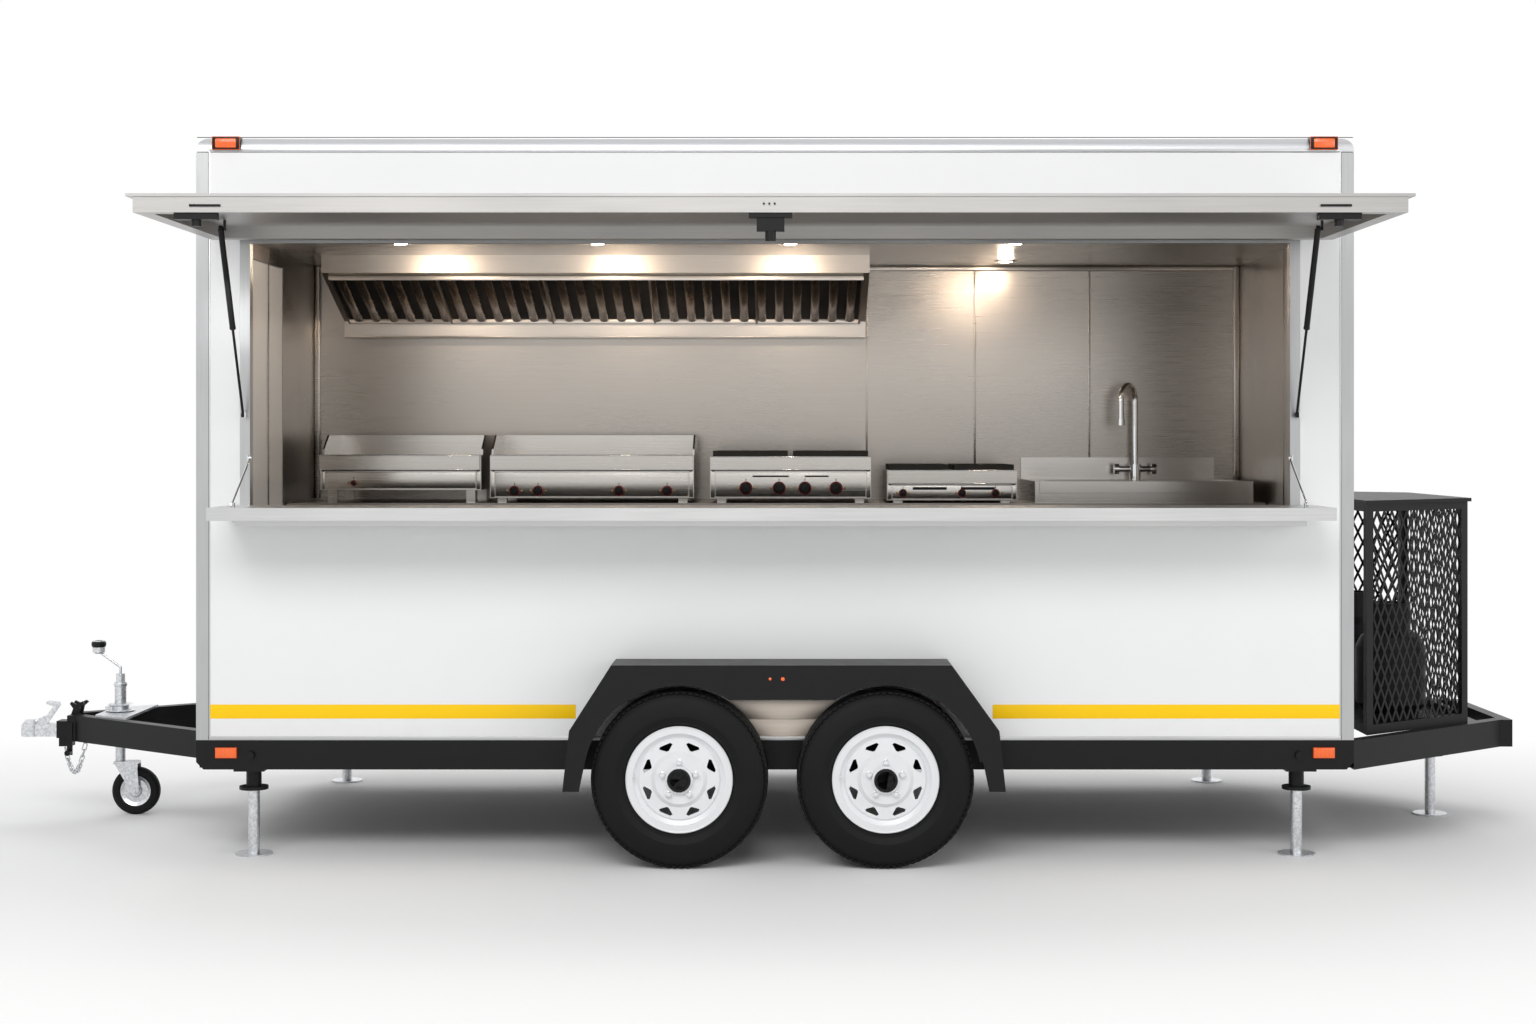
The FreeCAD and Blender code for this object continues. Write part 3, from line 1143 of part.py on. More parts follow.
def cage_mesh(base_top):
    """Panels of diamond mesh on the two slanted sides and the rear of the cage."""
    bar, sheet_thickness = float(at.cage_bar), float(at.cage_mesh_thickness)
    low, high = float(base_top) + bar, float(at.cage_top) - bar
    x0 = float(at.cage_front_x) + bar + sheet_thickness
    x1 = float(at.cage_rear_x) - bar - sheet_thickness
    inset = bar * 0.4
    near_front = Vector(x0, -float(cage_side(at.cage_front_x + at.cage_bar)) + inset, low)
    near_rear = Vector(x1, -float(cage_side(at.cage_rear_x - at.cage_bar)) + inset, low)
    end_x = float(at.cage_rear_x) - inset
    half = float(at.cage_rear_y) - bar
    panels = []
    for side in (-1, 1):
        start = Vector(near_front.x, -side * near_front.y, low)
        end = Vector(near_rear.x, -side * near_rear.y, low)
        panels.append(mesh_panel(start, end, high - low, sheet_thickness))
    panels.append(mesh_panel(Vector(end_x, -half, low), Vector(end_x, half, low),
                             high - low, sheet_thickness))
    node("gas_cage_mesh", *[solid(panel, "Mesh") for panel in panels])


def mesh_panel(start, end, height, sheet_thickness):
    """One sheet between two upright lines, pierced by staggered diamonds."""
    run = end - start
    length = run.Length
    along = run.normalize()
    out = Vector(-along.y, along.x, 0)
    columns = max(1, round(length / float(at.diamond_pitch)))
    rows = max(1, round(height / float(at.diamond_height)))
    wide, tall = length / columns, height / rows
    share = 1 - float(at.strand_width) / wide

    def spot(u, v):
        return start + along * u + Vector(0, 0, v) - out * (sheet_thickness / 2)

    rim = Part.makePolygon([spot(0, 0), spot(length, 0), spot(length, height), spot(0, height),
                            spot(0, 0)])
    holes = []
    for row in range(rows * 2 - 1):
        shift = 0.5 if row % 2 == 0 else 1.0
        count = columns if row % 2 == 0 else columns - 1
        for column in range(count):
            u, v = (column + shift) * wide, (row + 1) * tall / 2
            half_u, half_v = wide / 2 * share, tall / 2 * share
            corners = [spot(u - half_u, v), spot(u, v - half_v), spot(u + half_u, v),
                       spot(u, v + half_v), spot(u - half_u, v)]
            holes.append(Part.makePolygon(corners))
    face = Part.makeFace([rim] + holes, "Part::FaceMakerBullseye")
    return face.extrude(out * sheet_thickness)


def stands():
    """Five stands: a socket on the frame and a sliding leg with a round foot under each."""
    spots = [("near_front", -at.stand_x, -at.stand_y), ("near_rear", at.stand_x, -at.stand_y),
             ("far_front", -at.stand_x, at.stand_y), ("far_rear", at.stand_x, at.stand_y),
             ("tail", at.rear_stand_x, 0)]
    sockets = []
    outer = at.stand_leg_radius + at.stand_wall
    low, high = at.stand_socket_bottom, at.stand_socket_top
    for name, x, y in spots:
        tube = rod("z", (x, y), (low, high), outer)
        flange = rod("z", (x, y), (low, low + at.stand_flange), at.stand_flange_radius)
        bore = rod("z", (x, y), (low - 1, high + 1), at.stand_leg_radius + at.running_gap)
        if name == "tail":
            arm = box((x, x + outer), (-outer, outer), (at.frame_bottom, high - 1))
            pieces = [tube, flange, arm]
        else:
            side = 1 if float(y) > 0 else -1
            inside = side * (at.body_width / 2 - at.rail_width)
            arm = box((x - outer, x + outer), (y, inside), (rail_bottom, high - 1))
            plate = box((x - at.stand_plate_half, x + at.stand_plate_half),
                        (y - side * outer, side * at.body_width / 2),
                        (rail_bottom - 8, rail_bottom))
            pieces = [tube, flange, arm, plate]
        sockets.append(cut(fuse(*pieces), bore))
        leg = rod("z", (x, y), (0, at.stand_leg_top), at.stand_leg_radius)
        foot = rod("z", (x, y), (0, at.foot_thickness), at.foot_radius)
        node("stand_leg_" + name, fuse(leg, foot))
    FORMS["stand_sockets"] = sockets


def fittings():
    """Waste tank, marker lamps and the clamp knobs on the rails."""
    tank = rod("z", (at.tank_x, at.tank_y), (at.tank_bottom + 26, at.body_bottom),
               at.tank_radius - 4)
    dish = doc.addObject("Part::Cone", "Dish")
    bind(dish, Radius1=at.tank_radius * 0.62, Radius2=at.tank_radius, Height=28)
    put(dish, at.tank_x, at.tank_y, at.tank_bottom)
    node("waste_tank", fuse(tank, dish))

    lamps, knobs = [], []
    half_length, half_height = at.lamp_length / 2, at.lamp_height / 2
    roof_half = at.roof_lamp_length / 2
    roof_top = at.panel_top + at.roof_trim_height
    for side in (-1, 1):
        face = side * at.body_width / 2
        proud = face + side * at.lamp_depth
        for x in (-at.lamp_x, at.lamp_x):
            lamps.append(box((x - half_length, x + half_length), (face, proud),
                             (at.lamp_z - half_height, at.lamp_z + half_height)))
            block = box((x - roof_half, x + roof_half), (face - side * 30, proud),
                        (roof_top - at.roof_lamp_height, roof_top))
            lamps.append(cut(block, FORMS["roof"]))
        for x in (-at.knob_x, at.knob_x):
            knobs.append(rod("y", (x, at.knob_z), (face, face + side * at.rail_knob_depth),
                             at.rail_knob_radius))
    node("marker_lamps", *lamps)
    node("stand_sockets", *FORMS["stand_sockets"], *knobs)


for build in (chassis, drawbar, jockey, wheels, axles, springs, mudguards, shell, hatch,
              gas_struts, shelf, front_door, interior, kitchen, rear_frame, gas_cage, stands,
              fittings):
    build()
doc.recompute()

failed = [thing.Label for thing in doc.Objects
          if "Invalid" in thing.State or "Error" in thing.State]
if failed:
    raise RuntimeError(f"these objects failed: {failed}")
for thing in SUBPARTS:
    if thing.Shape.isNull() or not thing.Shape.isValid() or not thing.Shape.Solids:
        raise RuntimeError(f"{thing.Label} has no sound shape")
for thing in SUBPARTS:
    thing.Shape.exportStep(f"parts/{thing.Label}.step")
print(f"{len(SUBPARTS)} sub-parts written")
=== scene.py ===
# %% [markdown]
# # A concession trailer with its hatch open
# The trailer's solids come from the CAD model as a fixed frame. This script gives each of them a
# finish, adds the small forms that the solids leave out, and sets up the studio. Everything is
# in metres, in the frame of the CAD model.

# %% Load the frame
import math

import bmesh
import bpy
from mathutils import Matrix, Vector


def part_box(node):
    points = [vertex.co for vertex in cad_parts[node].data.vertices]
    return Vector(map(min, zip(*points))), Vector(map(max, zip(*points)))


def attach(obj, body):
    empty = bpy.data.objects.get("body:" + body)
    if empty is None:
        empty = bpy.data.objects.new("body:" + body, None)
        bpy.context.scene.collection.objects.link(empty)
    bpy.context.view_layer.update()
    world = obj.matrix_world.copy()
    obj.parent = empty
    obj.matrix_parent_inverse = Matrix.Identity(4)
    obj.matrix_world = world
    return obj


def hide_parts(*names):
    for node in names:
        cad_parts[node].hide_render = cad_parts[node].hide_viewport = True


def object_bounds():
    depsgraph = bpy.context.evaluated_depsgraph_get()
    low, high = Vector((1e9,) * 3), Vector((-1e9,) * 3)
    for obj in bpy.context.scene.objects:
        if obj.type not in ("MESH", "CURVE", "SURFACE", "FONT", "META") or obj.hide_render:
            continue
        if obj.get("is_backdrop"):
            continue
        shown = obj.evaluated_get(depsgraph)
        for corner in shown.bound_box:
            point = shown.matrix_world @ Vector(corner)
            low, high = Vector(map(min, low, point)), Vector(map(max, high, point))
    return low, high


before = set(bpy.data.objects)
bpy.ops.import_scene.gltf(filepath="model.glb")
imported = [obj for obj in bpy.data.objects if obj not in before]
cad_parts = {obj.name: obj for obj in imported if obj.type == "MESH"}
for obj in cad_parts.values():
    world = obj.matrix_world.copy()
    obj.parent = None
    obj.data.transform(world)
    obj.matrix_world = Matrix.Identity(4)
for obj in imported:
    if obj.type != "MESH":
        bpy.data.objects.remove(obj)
cad_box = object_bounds()

# %% [markdown]
# The drawings measure the trailer in millimetres from the middle of its body. One helper turns
# such a place into the frame's metres, so the numbers below can be read next to the drawings.

# %% Places on the trailer
BODY_MIDDLE = Vector((0.097, 0.430, 0.0))
NEAR, FRONT = -1000, -2200


def spot(x, y, z):
    """A place measured in millimetres from the middle of the body, in the frame's metres."""
    return BODY_MIDDLE + Vector((x, y, z)) / 1000


print("the near front corner of the body is at", tuple(spot(FRONT, NEAR, 448)))

# %% [markdown]
# A finish is a small network of nodes, and most of it is arithmetic: a mask times a noise plus a
# base value. Wrapping a socket in a class with the usual operators lets that arithmetic be
# written as Python, which is far easier to read than a list of links.

# %% Shader arithmetic
class Wave:
    """A value that changes over the surface, which adds and multiplies like a number."""

    def __init__(self, finish, socket):
        self.finish, self.socket = finish, socket

    def through(self, operation, *values):
        return self.finish.node("Math", {"operation": operation},
                                **{str(i): v for i, v in enumerate(values)})

    def __add__(self, other):
        return self.through("ADD", self, other)

    def __sub__(self, other):
        return self.through("SUBTRACT", self, other)

    def __rsub__(self, other):
        return self.through("SUBTRACT", other, self)

    def __mul__(self, other):
        return self.through("MULTIPLY", self, other)

    def __truediv__(self, other):
        return self.through("DIVIDE", self, other)

    __radd__, __rmul__ = __add__, __mul__

    def clamped(self):
        return self.through("MINIMUM", self.through("MAXIMUM", self, 0.0), 1.0)


class Finish:
    """A material being mixed, around its Principled shader."""

    def __init__(self, name):
        self.material = bpy.data.materials.new(name)
        self.material.use_nodes = True
        self.tree = self.material.node_tree
        self.shader = self.tree.nodes["Principled BSDF"]

    def feed(self, socket, value):
        if isinstance(value, Wave):
            self.tree.links.new(value.socket, socket)
        elif hasattr(value, "__len__") and len(value) == 3 and socket.type == "RGBA":
            socket.default_value = (*value, 1.0)
        else:
            socket.default_value = value

    def node(self, kind, settings=(), out=0, **sockets):
        made = self.tree.nodes.new("ShaderNode" + kind)
        for key, value in dict(settings).items():
            if key == "stops":
                ramp = made.color_ramp
                while len(ramp.elements) < len(value):
                    ramp.elements.new(0.5)
                for element, (place, colour) in zip(ramp.elements, value):
                    element.position, element.color = place, (*colour, 1.0)
            else:
                setattr(made, key, value)
        for key, value in sockets.items():
            key = key.replace("_", " ")
            self.feed(made.inputs[int(key) if key.isdigit() else key], value)
        return Wave(self, made.outputs[out])

    def place(self, stretch=(1, 1, 1)):
        """The point on the surface in metres, stretched for grain that runs one way."""
        point = self.node("TexCoord", out=3)
        return self.node("VectorMath", {"operation": "MULTIPLY"}, **{"0": point, "1": stretch})

    def axis(self, letter):
        parts = self.node("SeparateXYZ", Vector=self.place())
        node = parts.socket.node
        return Wave(self, node.outputs["XYZ".index(letter)])

    def noise(self, scale, stretch=(1, 1, 1), detail=3.0, rough=0.55):
        return self.node("TexNoise", Vector=self.place(stretch), Scale=scale, Detail=detail,
                         Roughness=rough)

    def blend(self, factor, first, second):
        settings = {"data_type": "RGBA", "clamp_factor": True}
        return self.node("Mix", settings, out=2, **{"0": factor, "6": first, "7": second})

    def bumps(self, height, strength=0.2, distance=0.001):
        return self.node("Bump", Strength=strength, Distance=distance, Height=height)

    def set(self, **sockets):
        for key, value in sockets.items():
            self.feed(self.shader.inputs[key.replace("_", " ")], value)
        return self.material


print("shader arithmetic is ready")

# %% [markdown]
# Painted sandwich panels are nearly white, a little glossy, and faintly wavy like all gel-coat.
# Their lower edge gathers road dust. A large soft noise varies the gloss, and a finer one the
# surface, so that a reflection on the panel isn't ruler-straight.

# %% White panel
def white_panel():
    finish = Finish("white_panel")
    cloud = finish.noise(1.7, detail=4.0)
    grain = finish.noise(160.0, detail=2.0)
    low = (1.0 - (finish.axis("Z") - 0.44) / 0.20).clamped()
    second_colour_mask = low * low * finish.noise(9.0, detail=5.0) * 0.35
    clean = finish.blend(cloud, (0.80, 0.805, 0.81), (0.84, 0.845, 0.85))
    return finish.set(Base_Color=finish.blend(second_colour_mask, clean, (0.55, 0.53, 0.50)),
                      Roughness=cloud * 0.12 + 0.28 + second_colour_mask * 0.4, Coat_Weight=0.15,
                      Coat_Roughness=0.2, Normal=finish.bumps(grain, 0.06, 0.0004))


WHITE_PANEL = white_panel()
print("mixed", WHITE_PANEL.name)

# %% [markdown]
# Brushed metal carries fine streaks along the way it was rolled. Stretching the coordinates
# across the grain squeezes an ordinary noise into streaks. They drive the roughness and a very
# shallow bump, while a broad noise keeps the sheet from looking uniform.

# %% Brushed metals
def brushed(name, colour, along, roughness, tint=0.08, streak=0.10, bump=0.05, dark=0.72):
    finish = Finish(name)
    stretch = tuple(1.2 if letter == along else 90.0 for letter in "XYZ")
    lines = finish.noise(3.0, stretch, detail=4.0, rough=0.7)
    cloud = finish.noise(1.3, detail=3.0)
    shade = tuple(c * dark for c in colour)
    mixed = finish.blend((lines * 0.55 + cloud * 0.45 - 0.3) * 1.6, shade, colour)
    warm = tuple(c * w for c, w in zip(colour, (1.0, 0.95, 0.89)))
    return finish.set(Base_Color=finish.blend(cloud * tint * 4.0, mixed, warm), Metallic=1.0,
                      Roughness=(lines - 0.5) * streak * 2.0 + cloud * 0.10 + roughness,
                      Normal=finish.bumps(lines, bump, 0.0003))


LONG_ALUMINIUM = brushed("aluminium_along", (0.62, 0.63, 0.64), "X", 0.30)
POST_ALUMINIUM = brushed("aluminium_upright", (0.56, 0.57, 0.58), "Z", 0.28)
LINING_STEEL = brushed("lining_steel", (0.48, 0.45, 0.42), "X", 0.24, 0.12, 0.06, 0.02)
HOOD_STEEL = brushed("hood_steel", (0.66, 0.62, 0.58), "X", 0.27, 0.12, 0.06, 0.02)
COOKER_STEEL = brushed("cooker_steel", (0.66, 0.64, 0.61), "X", 0.20, 0.10, 0.08, 0.03)
BAFFLE_STEEL = brushed("baffle_steel", (0.52, 0.45, 0.40), "Y", 0.20, 0.15, 0.10, 0.03, 0.6)
SHELF_STEEL = brushed("shelf_steel", (0.72, 0.73, 0.73), "X", 0.30, 0.05, 0.10, 0.05)
HATCH_STEEL = brushed("hatch_steel", (0.54, 0.53, 0.52), "X", 0.34, 0.06, 0.08, 0.05)
ROOF_ALUMINIUM = brushed("roof_aluminium", (0.62, 0.63, 0.65), "X", 0.34, 0.03, 0.06, 0.03, 0.9)
# painted shade: a greyed, tan steel for the sheet that stands in for the white wall and its yellow stripe
# lying in shade behind the mudguards
WALL_SHADE_STEEL = brushed("wall_painted_shade_steel", (0.72, 0.66, 0.60), "X", 0.35, 0.30, 0.10, 0.05, 0.75)
print("mixed ten brushed metals")

# %% [markdown]
# Galvanised steel shows pale crystals of zinc, a few millimetres across. A cell pattern gives
# each crystal its own grey. Chrome is the same metal with nothing on it but a faint smudge.

# %% Zinc and chrome
def galvanised():
    finish = Finish("galvanised")
    crystal = finish.node("TexVoronoi", {"feature": "F1"}, out=1, Vector=finish.place(),
                          Scale=130.0)
    grey = finish.node("RGBToBW", Color=crystal)
    cloud = finish.noise(30.0, detail=4.0)
    return finish.set(Base_Color=finish.blend(grey, (0.50, 0.52, 0.54), (0.80, 0.81, 0.83)),
                      Metallic=1.0, Roughness=cloud * 0.22 + 0.20 + grey * 0.08,
                      Normal=finish.bumps(cloud, 0.08, 0.0006))


def chrome():
    finish = Finish("chrome")
    smudge = finish.noise(45.0, detail=4.0)
    return finish.set(Base_Color=finish.blend(smudge, (0.74, 0.75, 0.77), (0.86, 0.87, 0.88)),
                      Metallic=1.0, Roughness=smudge * 0.12 + 0.06)


ZINC, CHROME = galvanised(), chrome()
BRASS = brushed("brass_lens", (0.62, 0.42, 0.16), "Z", 0.25)
print("mixed", ZINC.name, "and", CHROME.name)

# %% [markdown]
# The chassis wears thick black paint with a slight orange peel. Faces that look up are shifted
# towards a second colour, lighter on the black finishes and darker on the white rims and the
# stripe: a painted highlight on the tops of the dark parts, over a noise for real scuffs and grime.
# Plastic, rubber and cast iron share the recipe with other numbers: a dark base, a noise for the
# scuffs and the painted top light, and a finer one for the surface.

# %% Dark finishes
def dark(name, colour, roughness, grain, bump, worn_and_top_colour=(0.10, 0.10, 0.10), wear_and_top_light=0.25, metal=0.0,
         coat=0.0, gloss=0.22):
    finish = Finish(name)
    cloud = finish.noise(14.0, detail=5.0, rough=0.65)
    skin = finish.noise(grain, detail=3.0)
    up = finish.node("SeparateXYZ", Vector=finish.node("NewGeometry", out=1))
    up = Wave(finish, up.socket.node.outputs[2])
    # painted highlight: faces that look up shift towards the second colour, which is lighter on the black
    # finishes; the noise-only part is real scuffs and grime
    second_colour_mask = ((up - 0.3).clamped() * cloud * wear_and_top_light + (cloud - 0.55).clamped() * wear_and_top_light).clamped()
    return finish.set(Base_Color=finish.blend(second_colour_mask, colour, worn_and_top_colour), Metallic=metal,
                      Roughness=cloud * 0.18 + roughness, Coat_Weight=coat, Coat_Roughness=0.25,
                      Specular_IOR_Level=gloss, Normal=finish.bumps(skin, bump, 0.0006))


CHASSIS_PAINT = dark("chassis_paint", (0.006, 0.006, 0.0065), 0.30, 120.0, 0.12, wear_and_top_light=0.10)
CAGE_PAINT = dark("cage_paint", (0.005, 0.005, 0.0055), 0.34, 160.0, 0.14, wear_and_top_light=0.08)
GUARD_PAINT = dark("mudguard_plastic", (0.007, 0.007, 0.0075), 0.32, 220.0, 0.20, wear_and_top_light=0.12)
RUBBER = dark("tyre_rubber", (0.007, 0.007, 0.0075), 0.50, 260.0, 0.25, (0.05, 0.047, 0.045), 0.12,
              gloss=0.16)
PLASTIC = dark("black_plastic", (0.008, 0.008, 0.0085), 0.32, 300.0, 0.15, wear_and_top_light=0.12)
CAST_IRON = dark("cast_iron", (0.028, 0.027, 0.026), 0.50, 380.0, 0.45, wear_and_top_light=0.15, metal=0.3)
BOTTLE_PAINT = dark("bottle_paint", (0.012, 0.012, 0.014), 0.30, 60.0, 0.10, wear_and_top_light=0.12)
FLOOR_MAT = dark("floor_mat", (0.09, 0.09, 0.09), 0.60, 90.0, 0.40)
RIM_PAINT = dark("rim_paint", (0.78, 0.79, 0.81), 0.22, 90.0, 0.06, (0.50, 0.49, 0.47), 0.12,
                 coat=0.3, gloss=0.5)
YELLOW = dark("stripe_yellow", (0.98, 0.60, 0.0), 0.34, 200.0, 0.05, (0.80, 0.48, 0.03), 0.15,
              gloss=0.3)
RED_RING = dark("knob_red", (0.22, 0.006, 0.010), 0.22, 200.0, 0.05, gloss=0.6)
print("mixed the paints, the plastics and the rubber")

# %% [markdown]
# A lamp's lens is coloured plastic with fine upright flutes. Its faint glow is painted light: an
# emission that stands in for light going in at the front and coming back from the reflector. The
# downlights are plain bright discs.

# %% Lamps
def lens():
    finish = Finish("amber_lens")
    flutes = finish.node("Math", {"operation": "SINE"}, **{"0": finish.axis("X") * 1250.0})
    glow = finish.blend(flutes * 0.3 + 0.5, (0.70, 0.07, 0.003), (0.95, 0.17, 0.012))
    # painted glow: a weak emission stands in for light coming back from the reflector
    return finish.set(Base_Color=glow, Roughness=0.15, Coat_Weight=0.5, Emission_Color=glow,
                      Emission_Strength=0.12, Normal=finish.bumps(flutes, 0.3, 0.001))


def glow(name, colour, strength):
    finish = Finish(name)
    spread = finish.noise(60.0)
    return finish.set(Base_Color=colour, Roughness=0.4, Emission_Strength=strength,
                      Emission_Color=finish.blend(spread, colour, (1.0, 0.93, 0.82)))


AMBER = lens()
WARM_GLOW = glow("downlight_glow", (1.0, 0.84, 0.62), 30.0)
print("mixed the lamps")

# %% [markdown]
# Every solid of the CAD model gets the finish of the real piece. A table says which, so the
# whole trailer's looks can be read in one place. Curved solids are shaded smooth by angle: the
# edges between flat faces stay crisp, and the facets of tubes disappear.

# %% Finish the solids
CAD_FINISHES = {
    CHASSIS_PAINT: "side_rails cross_members drawbar_rails drawbar_nose axles leaf_springs "
                   "rear_frame_rails stand_sockets",
    CAGE_PAINT: "gas_cage cage_lid gas_cage_mesh strut_tubes strut_rods",
    GUARD_PAINT: "mudguards waste_tank",
    PLASTIC: "hatch_fittings control_knobs",
    ZINC: "coupling jockey_housing jockey_leg jockey_fork jockey_rim wall_fittings "
          "stand_leg_near_front stand_leg_near_rear stand_leg_far_front stand_leg_far_rear "
          "stand_leg_tail",
    CHROME: "tap shelf_stays",
    RUBBER: "tyre_near_front tyre_near_rear tyre_far_front tyre_far_rear jockey_tyre",
    RIM_PAINT: "rim_near_front rim_near_rear rim_far_front rim_far_rear",
    WHITE_PANEL: "wall_serving wall_back wall_front wall_rear entry_door",
    ROOF_ALUMINIUM: "roof",
    POST_ALUMINIUM: "aluminium_trim roof_vent",
    SHELF_STEEL: "serving_shelf",
    HATCH_STEEL: "hatch",
    LINING_STEEL: "interior_lining benches sink_cabinet",
    HOOD_STEEL: "hood",
    BAFFLE_STEEL: "hood_baffles",
    COOKER_STEEL: "cooking_appliances sink",
    CAST_IRON: "burner_grates",
    BOTTLE_PAINT: "gas_cylinders",
    FLOOR_MAT: "floor",
    AMBER: "marker_lamps",
}


def smooth_by_angle(mesh, degrees=32):
    mesh.polygons.foreach_set("use_smooth", [True] * len(mesh.polygons))
    mesh.set_sharp_from_angle(angle=math.radians(degrees))


for finish, names in CAD_FINISHES.items():
    for name in names.split():
        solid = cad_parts[name]
        solid.data.materials.clear()
        solid.data.materials.append(finish)
        smooth_by_angle(solid.data)
print("finished", sum(len(names.split()) for names in CAD_FINISHES.values()), "solids")

# %% [markdown]
# The added pieces are all gathered from a few forms: bevelled blocks, turned profiles, round
# bars, bent tubes and flat plates with an outline. A small class collects such forms into one
# mesh, takes places in millimetres from the drawings, and at the end hangs the mesh on the body
# that it moves with.

# %% The workshop for added pieces
class Piece:
    """One mesh, gathered from several forms whose places are in millimetres."""

    def __init__(self, name):
        self.name, self.mesh = name, bmesh.new()

    def block(self, x, y, z, bevel=1.0, turn=None):
        """A bevelled block between two corners, turned round its middle if asked."""
        made = bmesh.ops.create_cube(self.mesh, size=1.0)["verts"]
        size = Vector((abs(x[1] - x[0]), abs(y[1] - y[0]), abs(z[1] - z[0]))) / 1000
        middle = spot((x[0] + x[1]) / 2, (y[0] + y[1]) / 2, (z[0] + z[1]) / 2)
        bmesh.ops.scale(self.mesh, vec=size, verts=made)
        edges = list({edge for vert in made for edge in vert.link_edges})
        width = min(bevel / 1000, min(size) * 0.45)
        result = bmesh.ops.bevel(self.mesh, geom=edges, offset=width, segments=2,
                                 affect="EDGES", profile=0.5)
        verts = list({v for face in result["faces"] for v in face.verts} | {
            v for v in made if v.is_valid})
        if turn is not None:
            bmesh.ops.rotate(self.mesh, cent=(0, 0, 0), matrix=turn, verts=verts)
        bmesh.ops.translate(self.mesh, vec=middle, verts=verts)
        return self

    def turned(self, place, axis, profile, sides=32, closed=False):
        """A form turned round an axis, from (radius, distance along the axis) in millimetres."""
        axis = Vector(axis).normalized()
        side = axis.orthogonal().normalized()
        other = axis.cross(side)
        rings = []
        for radius, along in profile:
            centre = spot(*place) + axis * along / 1000
            if radius < 0.01:
                rings.append([self.mesh.verts.new(centre)])
                continue
            rings.append([self.mesh.verts.new(
                centre + (side * math.cos(a) + other * math.sin(a)) * radius / 1000)
                for a in (math.tau * i / sides for i in range(sides))])
        if closed:
            rings.append(rings[0])
        for low, high in zip(rings, rings[1:]):
            self.join(low, high, sides)
        for ring in () if closed else (rings[0], rings[-1]):
            if len(ring) > 1:
                self.mesh.faces.new(ring)
        return self

    def join(self, low, high, sides):
        for i in range(sides):
            j = (i + 1) % sides
            if len(low) == 1 and len(high) > 1:
                self.mesh.faces.new((low[0], high[j], high[i]))
            elif len(high) == 1 and len(low) > 1:
                self.mesh.faces.new((low[i], low[j], high[0]))
            elif len(low) > 1:
                self.mesh.faces.new((low[i], low[j], high[j], high[i]))

    def bar(self, start, end, radius, sides=16, soft=1.0):
        """A round bar between two places, with softened ends."""
        way = Vector(end) - Vector(start)
        length, soft = way.length, min(soft, radius * 0.5)
        return self.turned(start, way, [(radius - soft, 0), (radius, soft),
                                        (radius, length - soft), (radius - soft, length)], sides)

    def bent(self, places, radius, sides=12, ring=False):
        """A tube along a line of places, its section carried round the bends without twist."""
        points = [spot(*p) for p in places]
        count = len(points)
        frame_side, rings = None, []
        for i, point in enumerate(points):
            before = points[i - 1] if i or ring else points[0]
            after = points[(i + 1) % count] if i < count - 1 or ring else points[-1]
            way = (after - before).normalized()
            if frame_side is None:
                frame_side = way.orthogonal().normalized()
            frame_side = (frame_side - way * frame_side.dot(way)).normalized()
            other = way.cross(frame_side)
            rings.append([self.mesh.verts.new(
                point + (frame_side * math.cos(a) + other * math.sin(a)) * radius / 1000)
                for a in (math.tau * k / sides for k in range(sides))])
        pairs = list(zip(rings, rings[1:])) + ([(rings[-1], rings[0])] if ring else [])
        for low, high in pairs:
            self.join(low, high, sides)
        if not ring:
            self.mesh.faces.new(rings[0])
            self.mesh.faces.new(rings[-1])
        return self

    def plate(self, outline, depth):
        """A flat plate from its outline of places, thickened along a way in millimetres."""
        step = Vector(depth) / 1000
        low = [self.mesh.verts.new(spot(*p)) for p in outline]
        high = [self.mesh.verts.new(v.co + step) for v in low]
        self.mesh.faces.new(low)
        self.mesh.faces.new(high)
        self.join(low, high, len(low))
        return self

    def done(self, finish, body, slot, angle=32):
        """Closes the mesh, gives it its finish and hangs it on its body."""
        bmesh.ops.recalc_face_normals(self.mesh, faces=self.mesh.faces)
        data = bpy.data.meshes.new(self.name)
        self.mesh.to_mesh(data)
        self.mesh.free()
        data.materials.append(finish)
        smooth_by_angle(data, angle)
        made = bpy.data.objects.new(self.name, data)
        bpy.context.scene.collection.objects.link(made)
        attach(made, body)
        print(f"{self.name}: {len(data.polygons)} faces on {body}")
        return made


print("the workshop is open")

# %% [markdown]
# A yellow stripe of thin film runs along each side, from post to post and up to the mudguards.
# The roof has a pressed step below its aluminium edge, and thin shadow gaps part the sheets.

# %% Stripe and panel seams
stripe = Piece("yellow_stripe")
for side in (1, -1):
    for x in ((-2149, -757), (827, 2149)):
        stripe.block(x, (side * (NEAR - 1.2), side * (NEAR + 0.3)), (530, 583), 0.3)
stripe.done(YELLOW, "chassis", "white_panel")

seams = Piece("panel_seams")
for side in (1, -1):
    far_face = side * (NEAR + 0.3)
    seams.block((-2150, 2150), (side * (NEAR - 3.5), far_face), (448, 462), 1.0)
    seams.block((-2150, 2150), (side * (NEAR - 2.0), far_face), (2686, 2694), 1.0)
    for x in (-2149, 2149):
        seams.block((x - 3, x + 3), (side * (NEAR - 1.5), far_face), (464, 2684), 0.5)
seams.done(LONG_ALUMINIUM, "chassis", "aluminium")

gaps = Piece("shadow_gaps")
for side in (1, -1):
    far_face = side * (NEAR + 0.3)
    for z in (2682.5, 2738):
        gaps.block((-2196, 2196), (side * (NEAR - 0.8), far_face), (z - 1.4, z + 1.4), 0.3)
    for x in (-2152.5, 2152.5):
        gaps.block((x - 1, x + 1), (side * (NEAR - 1.0), far_face), (450, 2682), 0.3)
for x in (-733, 733):
    gaps.block((x - 1, x + 1), (-NEAR - 0.3, -NEAR + 0.8), (585, 2682), 0.3)
gaps.done(PLASTIC, "chassis", "black_plastic")

